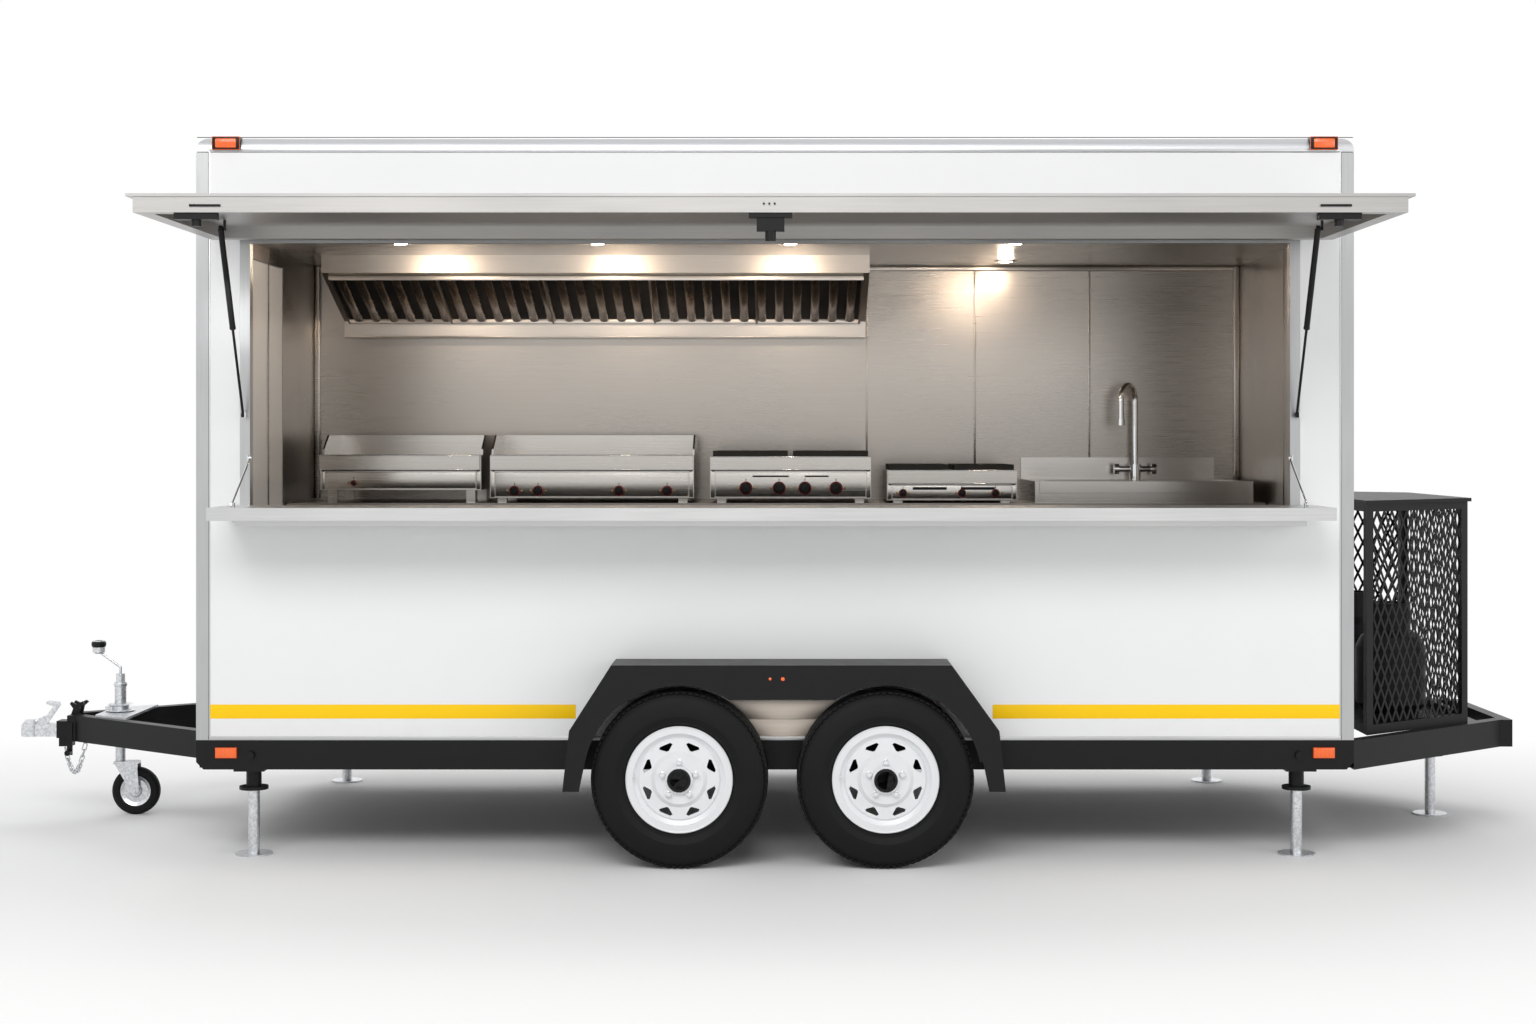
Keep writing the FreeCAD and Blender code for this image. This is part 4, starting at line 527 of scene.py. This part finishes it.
# painted shade: this greyed, tan sheet between the wheels stands in for the white wall and its yellow
# stripe lying in shade behind the mudguards
wall_shade_sheet = Piece("wall_painted_shade_sheet")
wall_shade_sheet.block((-520, 580), (NEAR - 2, NEAR + 0.3), (452, 528), 1.0)
wall_shade_sheet.block((-560, 620), (NEAR - 3, NEAR + 0.3), (528, 600), 1.0)
wall_shade_sheet.done(WALL_SHADE_STEEL, "chassis", "aluminium")

# %% [markdown]
# The hatch is a shallow steel tray that swings up on a long hinge. Its front rim shows two slots
# near the ends, three vent holes in the middle, and screws along the seam; the slots and vent holes
# are added here, the screws are left out. The dark latches and their rubber bumpers hang below the
# corners and the middle.

# %% Hatch details
hatch_low, hatch_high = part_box("hatch")
hatch_front_y = (hatch_low.y - BODY_MIDDLE.y) * 1000
hatch_top_z = hatch_high.z * 1000
print("the hatch reaches", round(hatch_front_y), "mm and its top is at", round(hatch_top_z))

slots = Piece("hatch_slots")
for x in (-1880, 1860):
    slots.block((x - 52, x + 52), (hatch_front_y - 1.0, hatch_front_y + 3),
                (hatch_top_z - 44, hatch_top_z - 36), 2.5)
for x in (-32, -14, 4):
    slots.turned((x, hatch_front_y + 1, hatch_top_z - 34), (0, -1, 0),
                 [(3.4, 0), (3.4, 1.6), (2.2, 2.0)], 16)
slots.done(PLASTIC, "hatch", "black_plastic")

# %% [markdown]
# A tyre is a turned carcass with three things on top: ribs and sipes in the tread, a moulded
# ring and fine bars on the sidewall, and the rounded bead by the rim. The tread blocks are one
# block copied round the wheel, slightly slanted so the grooves read as a zigzag.

# %% Tyres
WHEEL_PLACES = {"near_front": (-354, -1142.5), "near_rear": (411, -1142.5),
                "far_front": (-354, 1142.5), "far_rear": (411, 1142.5)}
CARCASS = ((180, -70), (199, -71), (206, -78), (213, -88), (219, -91.5), (232, -95), (236, -97),
           (262, -97), (266, -95.5), (280, -95.0), (284, -93.5), (298, -90), (309, -84),
           (318, -77), (322.5, -68))


def tyre(name, x, y):
    """The carcass, its tread ribs with slanted sipes, and bars round the shoulder."""
    made = Piece("tyre_" + name + "_rubber")
    groove = []
    for low, high in ((-62, -38), (-31, -6), (6, 31), (38, 62)):
        groove += [(322, low - 3.4), (328.5, low), (329.4, (low + high) / 2), (328.5, high),
                   (322, high + 3.4)]
    profile = list(CARCASS) + groove + [(r, -a) for r, a in reversed(CARCASS)]
    made.turned((x, y, 330), (0, 1, 0), profile, 96, True)
    count = 84
    for i in range(count):
        angle = math.tau * i / count
        for side in (-1, 1):
            turn = Matrix.Rotation(angle + side * 0.02, 4, "Y")
            middle = turn @ Vector((0, 0, 319))
            made.block((x + middle.x - 8, x + middle.x + 8), (y + side * 66, y + side * 86),
                       (330 + middle.z - 3, 330 + middle.z + 3), 1.0,
                       turn @ Matrix.Rotation(side * 0.42, 4, "X"))
    piece = made.done(RUBBER, "wheel_" + name, "rubber", 24)
    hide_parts("tyre_" + name)


for name, (x, y) in WHEEL_PLACES.items():
    tyre(name, x, y)

# %% [markdown]
# The rim's solid already has its eight windows. What it lacks is small: the black dust cap with
# its ring, five chromed nuts with their washers, the valve, and the rolled lip that catches the
# light.

# %% Rim details
def rim_details(name, x, y):
    out = -1 if y < 0 else 1
    face = y + out * 76
    caps = Piece("hub_cap_" + name)
    caps.turned((x, face - out * 1, 330), (0, out, 0), [(50, 0), (50, 7), (46, 11), (46, 19),
                                                        (42, 23), (34, 24), (32, 21), (0, 21)], 40)
    for i in range(6):
        angle = math.tau * i / 6
        px, pz = x + 38 * math.cos(angle), 330 + 38 * math.sin(angle)
        caps.turned((px, face + out * 22, pz), (0, out, 0), [(3, 0), (3, 3), (2, 4)], 12)
    caps.done(PLASTIC, "wheel_" + name, "black_plastic")
    nuts = Piece("wheel_nuts_" + name)
    for i in range(5):
        angle = math.radians(90 + 72 * i)
        px, pz = x + 65 * math.cos(angle), 330 + 65 * math.sin(angle)
        nuts.turned((px, face - out * 1, pz), (0, out, 0), [(14, 0), (14, 2), (11, 3)], 24)
        nuts.turned((px, face, pz), (0, out, 0), [(11.5, 0), (11.5, 14), (9, 17), (0, 18)], 6)
    nuts.turned((x - 168, face - out * 8, 345), (0, out, 0), [(4, 0), (4, 26), (3, 30)], 12)
    nuts.done(CHROME, "wheel_" + name, "galvanised", 20)
    lip = Piece("rim_lip_" + name)
    lip.turned((x, y, 330), (0, out, 0), [(r, a) for r, a in (
        (188, 73), (192, 76.5), (196.5, 77.5), (199, 75), (198, 71), (192, 70))], 96, True)
    lip.done(RIM_PAINT, "wheel_" + name, "white_rim")


for name, (x, y) in WHEEL_PLACES.items():
    rim_details(name, x, y)

# %% [markdown]
# The hood's filters are the trailer's showpiece: a slanted bank of pressed steel baffles, each
# a rounded rib with a dark slot beside it. The dark slots are painted shade: a black plate behind
# the bank stands in for the shadow inside the filter. The baffles replace the plain bars of the
# solid and keep its slope. Frame bars and the gutter's lip finish the bank; the handles are left out.

# %% Hood filters
HOOD = {"left": -2000, "right": 410, "front_y": 330, "lip_z": 2322, "rear_y": 850,
        "gutter_z": 2135}


def hood_plane(share, drop):
    """A place on the hood's slope, from its front lip to its gutter, and below it."""
    y = HOOD["front_y"] + 26 + (HOOD["rear_y"] - HOOD["front_y"] - 52) * share
    z = HOOD["lip_z"] - 9 + (HOOD["gutter_z"] - HOOD["lip_z"] + 18) * share
    return y, z - drop


# painted shade: a black plate behind the baffles stands in for the shadow inside the filter
filter_shade_plate = Piece("filter_painted_shade")
y0, z0 = hood_plane(0.0, 1)
y1, z1 = hood_plane(1.0, 1)
filter_shade_plate.plate([(-1972, y0, z0), (382, y0, z0), (382, y1, z1), (-1972, y1, z1)], (0, 0, -2))
filters = Piece("filter_baffles")
BAFFLE_COUNT, left, right = 29, HOOD["left"] + 34, HOOD["right"] - 34
pitch = (right - left) / BAFFLE_COUNT
for i in range(BAFFLE_COUNT):
    x = left + pitch * (i + 0.5)
    wide = pitch * 0.25
    section = ((-wide, 3), (-wide, 11), (-wide * 0.7, 16.5), (0, 19), (wide * 0.7, 16.5),
               (wide, 11), (wide, 3))
    rows = []
    for share in (0.015, 0.03, 0.5, 0.97, 0.985):
        shrink = 0.75 if share in (0.015, 0.985) else 1.0
        rows.append([filters.mesh.verts.new(spot(x + u * shrink,
                                                 *hood_plane(share, d * shrink)))
                     for u, d in section])
    for low, high in zip(rows, rows[1:]):
        filters.join(low, high, len(low))
    filters.mesh.faces.new(rows[0])
    filters.mesh.faces.new(rows[-1])
filters = filters.done(BAFFLE_STEEL, "chassis", "stainless", 50)
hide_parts("hood_baffles")
filter_shade_plate.done(PLASTIC, "chassis", "black_plastic")

frames = Piece("filter_frames")
for x in [left - 8] + [left + (right - left) * k / 5 - 4 for k in range(1, 5)] + [right]:
    low, high = hood_plane(0.0, 3), hood_plane(1.0, 3)
    frames.plate([(x, low[0], low[1]), (x, high[0], high[1]), (x, high[0], high[1] - 19),
                  (x, low[0], low[1] - 19)], (8, 0, 0))
for share in (0.0, 0.985):
    y, z = hood_plane(share, 0)
    frames.block((left - 8, right + 8), (y - 3, y + 7), (z - 22, z - 2), 1.5)
frames.block((HOOD["left"], HOOD["right"]), (HOOD["rear_y"] - 14, HOOD["rear_y"] + 2),
             (2060, 2068), 1.0)
frames.done(HOOD_STEEL, "chassis", "stainless")

# %% [markdown]
# The lining is made of steel sheets that meet in folded seams, with a coved post in each corner
# of the cabin. Thin raised strips with a shadow gap are enough to read as sheets.

# %% Lining seams
BACK_Y = 1000 - 40 - 3
strips = Piece("lining_seams")
for x in (420, 925, 1460):
    strips.block((x - 5, x + 5), (BACK_Y - 3.0, BACK_Y + 1), (1315, 2398), 1.0)
for x in (-2157, 2157):
    inward = 1 if x < 0 else -1
    strips.block((x, x + inward * 26), (BACK_Y - 28, BACK_Y), (1315, 2398), 6)
    strips.block((x - inward * 1, x + inward * 3), (0, 9), (1300, 2398), 1.0)
    strips.block((x - inward * 1, x + inward * 3), (-600, -591), (1300, 2398), 1.0)
strips.block((-2157, 2157), (BACK_Y - 20, BACK_Y), (2376, 2399.5), 5)
strips.block((-2157, 2157), (-935, -915), (2376, 2399.5), 5)
strips.done(LINING_STEEL, "chassis", "stainless")

# %% [markdown]
# Downlights are set in the ceiling and in the hood's front: a turned bezel with a glowing disc
# inside. Small warm lamps under them throw the pools of light that the steel reflects, and a
# wide soft one under the open hatch gives the rear wall its bright band.

# %% Downlights
DOWNLIGHTS = ((-1550, -280, 2400), (-735, -280, 2400), (60, -280, 2400), (990, -280, 2400),
              (1040, 660, 2400))
bezels, glows = Piece("downlight_bezels"), Piece("downlight_glows")
for x, y, z in DOWNLIGHTS:
    bezels.turned((x, y, z + 0.2), (0, 0, -1), [(52, 0), (52, 3), (48, 6), (40, 6), (38, 3),
                                                (38, 0)], 40, True)
    glows.turned((x, y, z + 0.1), (0, 0, -1), [(38, 0), (38, 2.5), (30, 3.5), (0, 4)], 32)
    lamp = bpy.data.lights.new("downlight", "POINT")
    lamp.energy = 4.0 if y < 0 else 1.2
    lamp.color, lamp.shadow_soft_size = (1.0, 0.80, 0.60), 0.035
    holder = bpy.data.objects.new("downlight", lamp)
    holder.location = spot(x, y, z - 42)
    bpy.context.scene.collection.objects.link(holder)
wash = bpy.data.lights.new("hatch_wash", "AREA")
wash.shape, wash.size, wash.size_y, wash.energy = "RECTANGLE", 4.0, 0.2, 3.0
holder = bpy.data.objects.new("hatch_wash", wash)
holder.location = spot(-200, -1300, 2060)
holder.rotation_euler = (math.radians(86), 0, 0)
holder.visible_camera = False
bpy.context.scene.collection.objects.link(holder)
bezels.done(CHROME, "chassis", "galvanised")
glows.done(WARM_GLOW, "chassis", "white_panel")

# %% [markdown]
# The gas cage is skinned with expanded metal: one sheet, slit and pulled until the slits open
# into diamonds. Each diamond is made as a ring of four strands between its outer corners, which
# it shares with its neighbours, and a smaller diamond inside. At the edges the corners are held
# to the panel's outline, so that the half diamonds end cleanly under the bars.

# %% Expanded metal of the cage
def expanded_metal(piece, start, end, low, high, wide=47.0, tall=95.0, strand=8.5, thick=2.6):
    """Diamonds between two upright lines, given as places seen from above."""
    start, end = Vector(start), Vector(end)
    length = (end - start).length
    along = (end - start) / length
    out = Vector((-along.y, along.x)) * thick / 2
    columns, rows = round(length / wide), round((high - low) / tall)
    wide, tall = length / columns, (high - low) / rows
    keep_u, keep_v = 1 - strand * 1.35 / wide, 1 - strand * 1.35 / wide

    def vert(u, v, side):
        place = start + along * min(max(u, 0), length) + out * side
        return piece.mesh.verts.new(spot(place.x, place.y, low + min(max(v, 0), high - low)))

    for row in range(rows * 2 + 1):
        for column in range(columns + 1):
            u = (column + (0.5 if row % 2 else 0.0)) * wide
            v = row * tall / 2
            if u > length + 1:
                continue
            corners = ((-1, 0), (0, -1), (1, 0), (0, 1))
            rings = [[vert(u + a * wide / 2 * ku, v + b * tall / 2 * kv, side)
                      for a, b in corners]
                     for side, ku, kv in ((-1, 1, 1), (-1, keep_u, keep_v), (1, keep_u, keep_v),
                                          (1, 1, 1))]
            for near_ring, far_ring in zip(rings, rings[1:]):
                piece.join(near_ring, far_ring, 4)


mesh_panels = Piece("cage_expanded_metal")
CAGE_LOW, CAGE_HIGH = 483, 1310
for start, end in (((2323, -809.8), (2767, -461.2)), ((2323, 809.8), (2767, 461.2)),
                   ((2788, -420), (2788, 420))):
    expanded_metal(mesh_panels, start, end, CAGE_LOW, CAGE_HIGH)
bmesh.ops.dissolve_degenerate(mesh_panels.mesh, dist=0.00005, edges=mesh_panels.mesh.edges)
mesh_panels = mesh_panels.done(CAGE_PAINT, "chassis", "black_steel", 20)
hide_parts("gas_cage_mesh")

# %% [markdown]
# Each gas cylinder carries a brass valve with a red hand wheel and a small regulator beside it,
# which show through the mesh as the only colour in the cage.

# %% Cylinder valves
wheels, regulators = Piece("valve_hand_wheels"), Piece("gas_regulators")
for side in (-1, 1):
    x, y = 2520, side * 330
    wheels.turned((x, y, 898), (0, 0, 1), [(8, 0), (30, 2), (34, 8), (30, 14), (12, 16),
                                           (8, 20), (0, 20)], 24)
    regulators.turned((x, y - 20, 872), (0, -1, 0), [(10, 0), (10, 20), (34, 24), (38, 30),
                                                     (38, 42), (30, 50), (0, 52)], 32)
    regulators.bar((x - 40, y - 56, 872), (x + 40, y - 56, 872), 7)
wheels.done(RED_RING, "chassis", "black_steel")
regulators.done(PLASTIC, "chassis", "black_plastic")

# %% [markdown]
# The cookers' fronts are folded panels with a raised border. Their knobs have a dark grip with a
# pointer over a red bezel, and between them sit small indicator lamps. The hobs have dark slots
# above the knobs.

# %% Cooker fronts
FASCIA_Y = 350
COOKERS = (("griddle_small", -2010, -1300, 1367, 1521), ("griddle_large", -1261, -363, 1332, 1521),
           ("hob_large", -292, 417, 1330, 1515), ("hob_small", 487, 1060, 1322, 1455))
panels, dark_slots, trims = Piece("cooker_panels"), Piece("cooker_slots"), Piece("cooker_trims")
for name, left_x, right_x, low_z, top_z in COOKERS:
    under = top_z - (66 if "griddle" in name else 60)
    panels.block((left_x + 24, right_x - 24), (FASCIA_Y - 4, FASCIA_Y + 1),
                 (low_z + 8, under - 8), 1.5)
    for x in (left_x + 12, right_x - 12):
        panels.block((x - 9, x + 9), (FASCIA_Y - 3, FASCIA_Y + 1), (low_z + 4, under - 3), 1.5)
    dark_slots.block((left_x + 5, right_x - 5), (FASCIA_Y - 1.5, FASCIA_Y + 1),
                     (under - 3.5, under - 0.5), 0.4)
    front_y = FASCIA_Y - (30 if "griddle" in name else 26)
    trims.bar((left_x + 3, front_y + 1, top_z - 1.5), (right_x - 3, front_y + 1, top_z - 1.5), 2.2)
    trims.bar((left_x + 3, front_y + 1, under + 1.5), (right_x - 3, front_y + 1, under + 1.5), 1.8)
for left_x, width in ((-105, 160), (125, 105)):
    dark_slots.block((left_x, left_x + width), (FASCIA_Y - 6, FASCIA_Y - 3), (1424, 1431), 2)
for x in (600, 812):
    dark_slots.block((x, x + 150), (FASCIA_Y - 6, FASCIA_Y - 3), (1368, 1380), 3)
panels.done(COOKER_STEEL, "chassis", "stainless")
dark_slots.done(PLASTIC, "chassis", "black_plastic")
trims.done(CHROME, "chassis", "stainless")

# %% Knobs
KNOBS = ((-1261, (108, 212, 568, 780), 1364, 19), (-292, (158, 304, 418, 555), 1376, 25),
         (487, (70, 330, 478), 1354, 14), (-2010, (150,), 1398, 10))
grips, bezels_red, marks = Piece("knob_grips"), Piece("knob_bezels"), Piece("knob_pointers")
lamps_small = Piece("indicator_lamps")
for left_x, places, z, radius in KNOBS:
    for step, place in enumerate(places):
        x = left_x + place
        bezels_red.turned((x, FASCIA_Y - 3, z), (0, -1, 0),
                          [(radius + 4, 0), (radius + 4, 3), (radius + 1, 5), (0, 5)], 32)
        grips.turned((x, FASCIA_Y - 7, z), (0, -1, 0),
                     [(radius, 0), (radius, 4), (radius * 0.86, 7), (radius * 0.82, 15),
                      (radius * 0.7, 17), (0, 17)], 32)
        turn = Matrix.Rotation(0.5 * step - 0.6, 4, "Y")
        grips.block((x - radius * 0.24, x + radius * 0.24), (FASCIA_Y - 29, FASCIA_Y - 22),
                    (z - radius * 0.9, z + radius * 0.9), 2, turn)
        marks.block((x - 1.5, x + 1.5), (FASCIA_Y - 5, FASCIA_Y - 3.5),
                    (z + radius + 6, z + radius + 16), 0.4)
        for shift in (-1, 1):
            lamps_small.turned((x + shift * (radius + 13), FASCIA_Y - 3, z), (0, -1, 0),
                               [(5, 0), (5, 3), (3, 5), (0, 5.5)], 16)
grips = grips.done(PLASTIC, "chassis", "black_plastic")
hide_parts("control_knobs")
bezels_red.done(RED_RING, "chassis", "black_plastic")
marks.done(PLASTIC, "chassis", "black_plastic")
lamps_small.done(BRASS, "chassis", "galvanised")

# %% [markdown]
# The roof's marker lamps sit in black bases at the corners, with a smaller amber lens, and two
# tiny repeaters sit on the near mudguard; all these lenses carry the amber finish's painted glow.

# %% Lamp bases and lenses
bases, lenses = Piece("lamp_bases"), Piece("lamp_lenses")
for side in (-1, 1):
    for x in (-2084, 2084):
        bases.block((x - 54, x + 54), (side * 966, side * 1015), (2689, 2741), 5)
        lenses.block((x - 40, x + 40), (side * 1008, side * 1021), (2697, 2733), 5)
        lenses.block((x - 38, x + 38), (side * 1012, side * 1017), (384, 418), 4)
lenses.turned((-17, -1249, 707), (0, -1, 0), [(5, 0), (5, 2), (3, 3), (0, 3.3)], 16)
lenses.turned((30, -1249, 707), (0, -1, 0), [(7, 0), (7, 2), (4, 3), (0, 3.3)], 16)
bases.done(PLASTIC, "chassis", "black_plastic")
lenses.done(AMBER, "chassis", "amber")

# %% [markdown]
# At the front, the jockey wheel's crank ends in a mushroom grip, its tube is held by a clamp with
# two rings, and a safety chain hangs below the coupling. A link is a tube bent round an oval, and
# each one is turned a quarter against the last.

# %% Drawbar details
knob = Piece("crank_grip")
JOCKEY_X = -2784
knob.turned((JOCKEY_X - 92, 0, 682), (0, 0, 1), [(17, 0), (20, 6), (20, 20), (27, 27), (31, 36), (30, 46),
                                         (24, 53), (0, 56)], 32)
knob.done(PLASTIC, "chassis", "black_plastic")
clamp = Piece("jockey_clamp")
for z, radius in ((438, 62), (462, 52)):
    clamp.turned((JOCKEY_X, 0, z), (0, 0, 1), [(23.5, 0), (radius - 4, 0), (radius, 3),
                                            (radius - 4, 7), (23.5, 8)], 40, True)
clamp.turned((JOCKEY_X, 0, 542), (0, 0, 1), [(23.5, 0), (27, 1), (28, 4), (28, 12), (26, 15),
                                          (23.5, 15)], 40, True)
clamp.done(ZINC, "chassis", "galvanised")

chain = Piece("safety_chain_links")
ends, links = ((-3012, 286), (-2907, 314)), 14
SAG, STRAIGHT, BEND = 112, 17, 8
for i in range(links):
    share = (i + 0.5) / links
    x = ends[0][0] + (ends[1][0] - ends[0][0]) * share
    sag = math.sin(math.pi * share) ** 0.85
    z = ends[0][1] + (ends[1][1] - ends[0][1]) * share - SAG * sag
    ahead = share + 0.01
    rise = (sag - math.sin(math.pi * ahead) ** 0.85) * SAG / 0.01
    angle = math.atan2(rise, ends[1][0] - ends[0][0])
    along, side = Vector((math.cos(angle), 0, math.sin(angle))), Vector((0, 1, 0))
    if i % 2:
        side = along.cross(side)
    oval = []
    for k in range(20):
        turn = math.tau * k / 20
        reach = STRAIGHT / 2 if math.cos(turn) > 0 else -STRAIGHT / 2
        oval.append(Vector((x, -20 - 64 * share, z))
                    + along * (reach + BEND * math.cos(turn)) + side * BEND * math.sin(turn))
    chain.bent(oval, 2.6, 8, True)
chain.done(ZINC, "chassis", "galvanised")

# %% [markdown]
# The gas struts get a dark collar where the rod leaves the tube.

# %% Strut fittings
ferrules = Piece("strut_ferrules")
top, low = Vector((0, -1367, 2360)), Vector((0, -1030, 1683))
way = (low - top).normalized()
TUBE_LENGTH = 392
for x in (-2014, 1976):
    base = top + way * TUBE_LENGTH
    ferrules.turned((x, base.y, base.z), way, [(11.4, 0), (11.8, 3), (11.8, 8), (9, 11), (5.6, 11)],
                    24)
ferrules.done(PLASTIC, "strut_tubes", "black_steel")

# %% [markdown]
# The studio is a pale floor that fades into white, a large soft light over the serving side, a
# weaker one from the rear end, another from behind, and a bright even sky. The floor is lit like
# any floor near the trailer, so it keeps the shadows, and turns into plain white further out.

# %% Floor
def studio_floor():
    finish = Finish("studio_floor")
    far = finish.node("VectorMath", {"operation": "LENGTH"}, out=1, **{
        "0": finish.node("VectorMath", {"operation": "MULTIPLY"}, **{
            "0": finish.place(), "1": (0.72, 1.25, 1.0)})})
    grain = finish.noise(40.0)
    finish.set(Base_Color=finish.blend(grain, (0.93, 0.93, 0.932), (0.95, 0.95, 0.952)),
               Roughness=0.75)
    white = finish.node("Emission", Color=(1, 1, 1, 1), Strength=1.0)
    seen = (finish.node("LightPath", out=0) + finish.node("LightPath", out=3)
            + finish.node("LightPath", out=6)).clamped()
    fade = ((far - 2.3) / 2.2).clamped() * seen
    mixed = finish.tree.nodes.new("ShaderNodeMixShader")
    finish.feed(mixed.inputs[0], fade)
    finish.tree.links.new(finish.shader.outputs[0], mixed.inputs[1])
    finish.tree.links.new(white.socket, mixed.inputs[2])
    output = finish.tree.nodes["Material Output"]
    finish.tree.links.new(mixed.outputs[0], output.inputs["Surface"])
    return finish.material


floor = Piece("studio_floor")
floor.plate([(-40000, -20000, -0.5), (40000, -20000, -0.5), (40000, 60000, -0.5),
             (-40000, 60000, -0.5)], (0, 0, -10))
bmesh.ops.recalc_face_normals(floor.mesh, faces=floor.mesh.faces)
floor_data = bpy.data.meshes.new("studio_floor")
floor.mesh.to_mesh(floor_data)
floor.mesh.free()
floor_data.materials.append(studio_floor())
floor_object = bpy.data.objects.new("studio_floor", floor_data)
bpy.context.scene.collection.objects.link(floor_object)
floor_object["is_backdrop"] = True
print("the floor is laid")

# %% [markdown]
# Area lights are softer the larger they are. The sky gives most of the light. To the camera, and
# to rays that come by a reflection or through glass, it shows as plain white instead.

# %% Lights
def soft_light(name, place, aim, size, power, colour=(1, 1, 1)):
    lamp = bpy.data.lights.new(name, "AREA")
    lamp.shape, lamp.size, lamp.size_y = "RECTANGLE", size[0], size[1]
    lamp.energy, lamp.color = power, colour
    holder = bpy.data.objects.new(name, lamp)
    holder.location = Vector(place)
    way = Vector(aim) - Vector(place)
    holder.rotation_euler = way.to_track_quat("-Z", "Y").to_euler()
    bpy.context.scene.collection.objects.link(holder)


soft_light("key_light", (-1.5, -7.5, 6.0), (0, -0.5, 1.3), (7.0, 3.0), 340.0)
soft_light("fill_light", (6.5, -4.5, 3.0), (0.5, 0, 1.2), (3.0, 3.0), 70.0)
soft_light("back_light", (0.0, 6.0, 5.5), (0, 0.5, 1.0), (7.0, 3.0), 160.0)

world = bpy.data.worlds.new("studio_sky")
bpy.context.scene.world = world
world.use_nodes = True
sky_nodes, sky_links = world.node_tree.nodes, world.node_tree.links
background = sky_nodes["Background"]
path = sky_nodes.new("ShaderNodeLightPath")
seen = path.outputs["Is Camera Ray"]
for ray in ("Is Glossy Ray", "Is Transmission Ray"):
    both = sky_nodes.new("ShaderNodeMath")
    both.operation, both.use_clamp = "ADD", True
    sky_links.new(seen, both.inputs[0])
    sky_links.new(path.outputs[ray], both.inputs[1])
    seen = both.outputs[0]
shown = sky_nodes.new("ShaderNodeMath")
shown.operation = "MULTIPLY_ADD"
sky_links.new(seen, shown.inputs[0])
SKY_LIGHT = 0.60
shown.inputs[1].default_value = 1.0 - SKY_LIGHT
shown.inputs[2].default_value = SKY_LIGHT
sky_links.new(shown.outputs[0], background.inputs["Strength"])
background.inputs["Color"].default_value = (1, 1, 1, 1)
print("the studio is lit")

# %% [markdown]
# The photograph looks straight at the serving side from just above the middle of the window.
# A small lens shift puts the view's centre where the photograph has it.

# %% Camera
camera_data = bpy.data.cameras.new("camera")
camera_data.lens, camera_data.sensor_width = 52.425, 36.0
camera_data.shift_x, camera_data.shift_y = -17 / 1536, -74 / 1536
camera = bpy.data.objects.new("camera", camera_data)
camera.location = spot(38, -9500, 1596)
camera.rotation_euler = (math.radians(90), 0, 0)
bpy.context.scene.collection.objects.link(camera)
bpy.context.scene.camera = camera
bpy.context.scene.view_settings.view_transform = "Standard"
print("the camera stands at", tuple(round(c, 3) for c in camera.location))

# %% Sizes and finish
sizes = {"solids": [list(corner) for corner in cad_box],
         "dressed": [list(corner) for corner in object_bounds()]}
for corner, (solid, dressed) in enumerate(zip(sizes["solids"], sizes["dressed"])):
    print(("lowest", "highest")[corner], [round(d - s, 4) for s, d in zip(solid, dressed)])
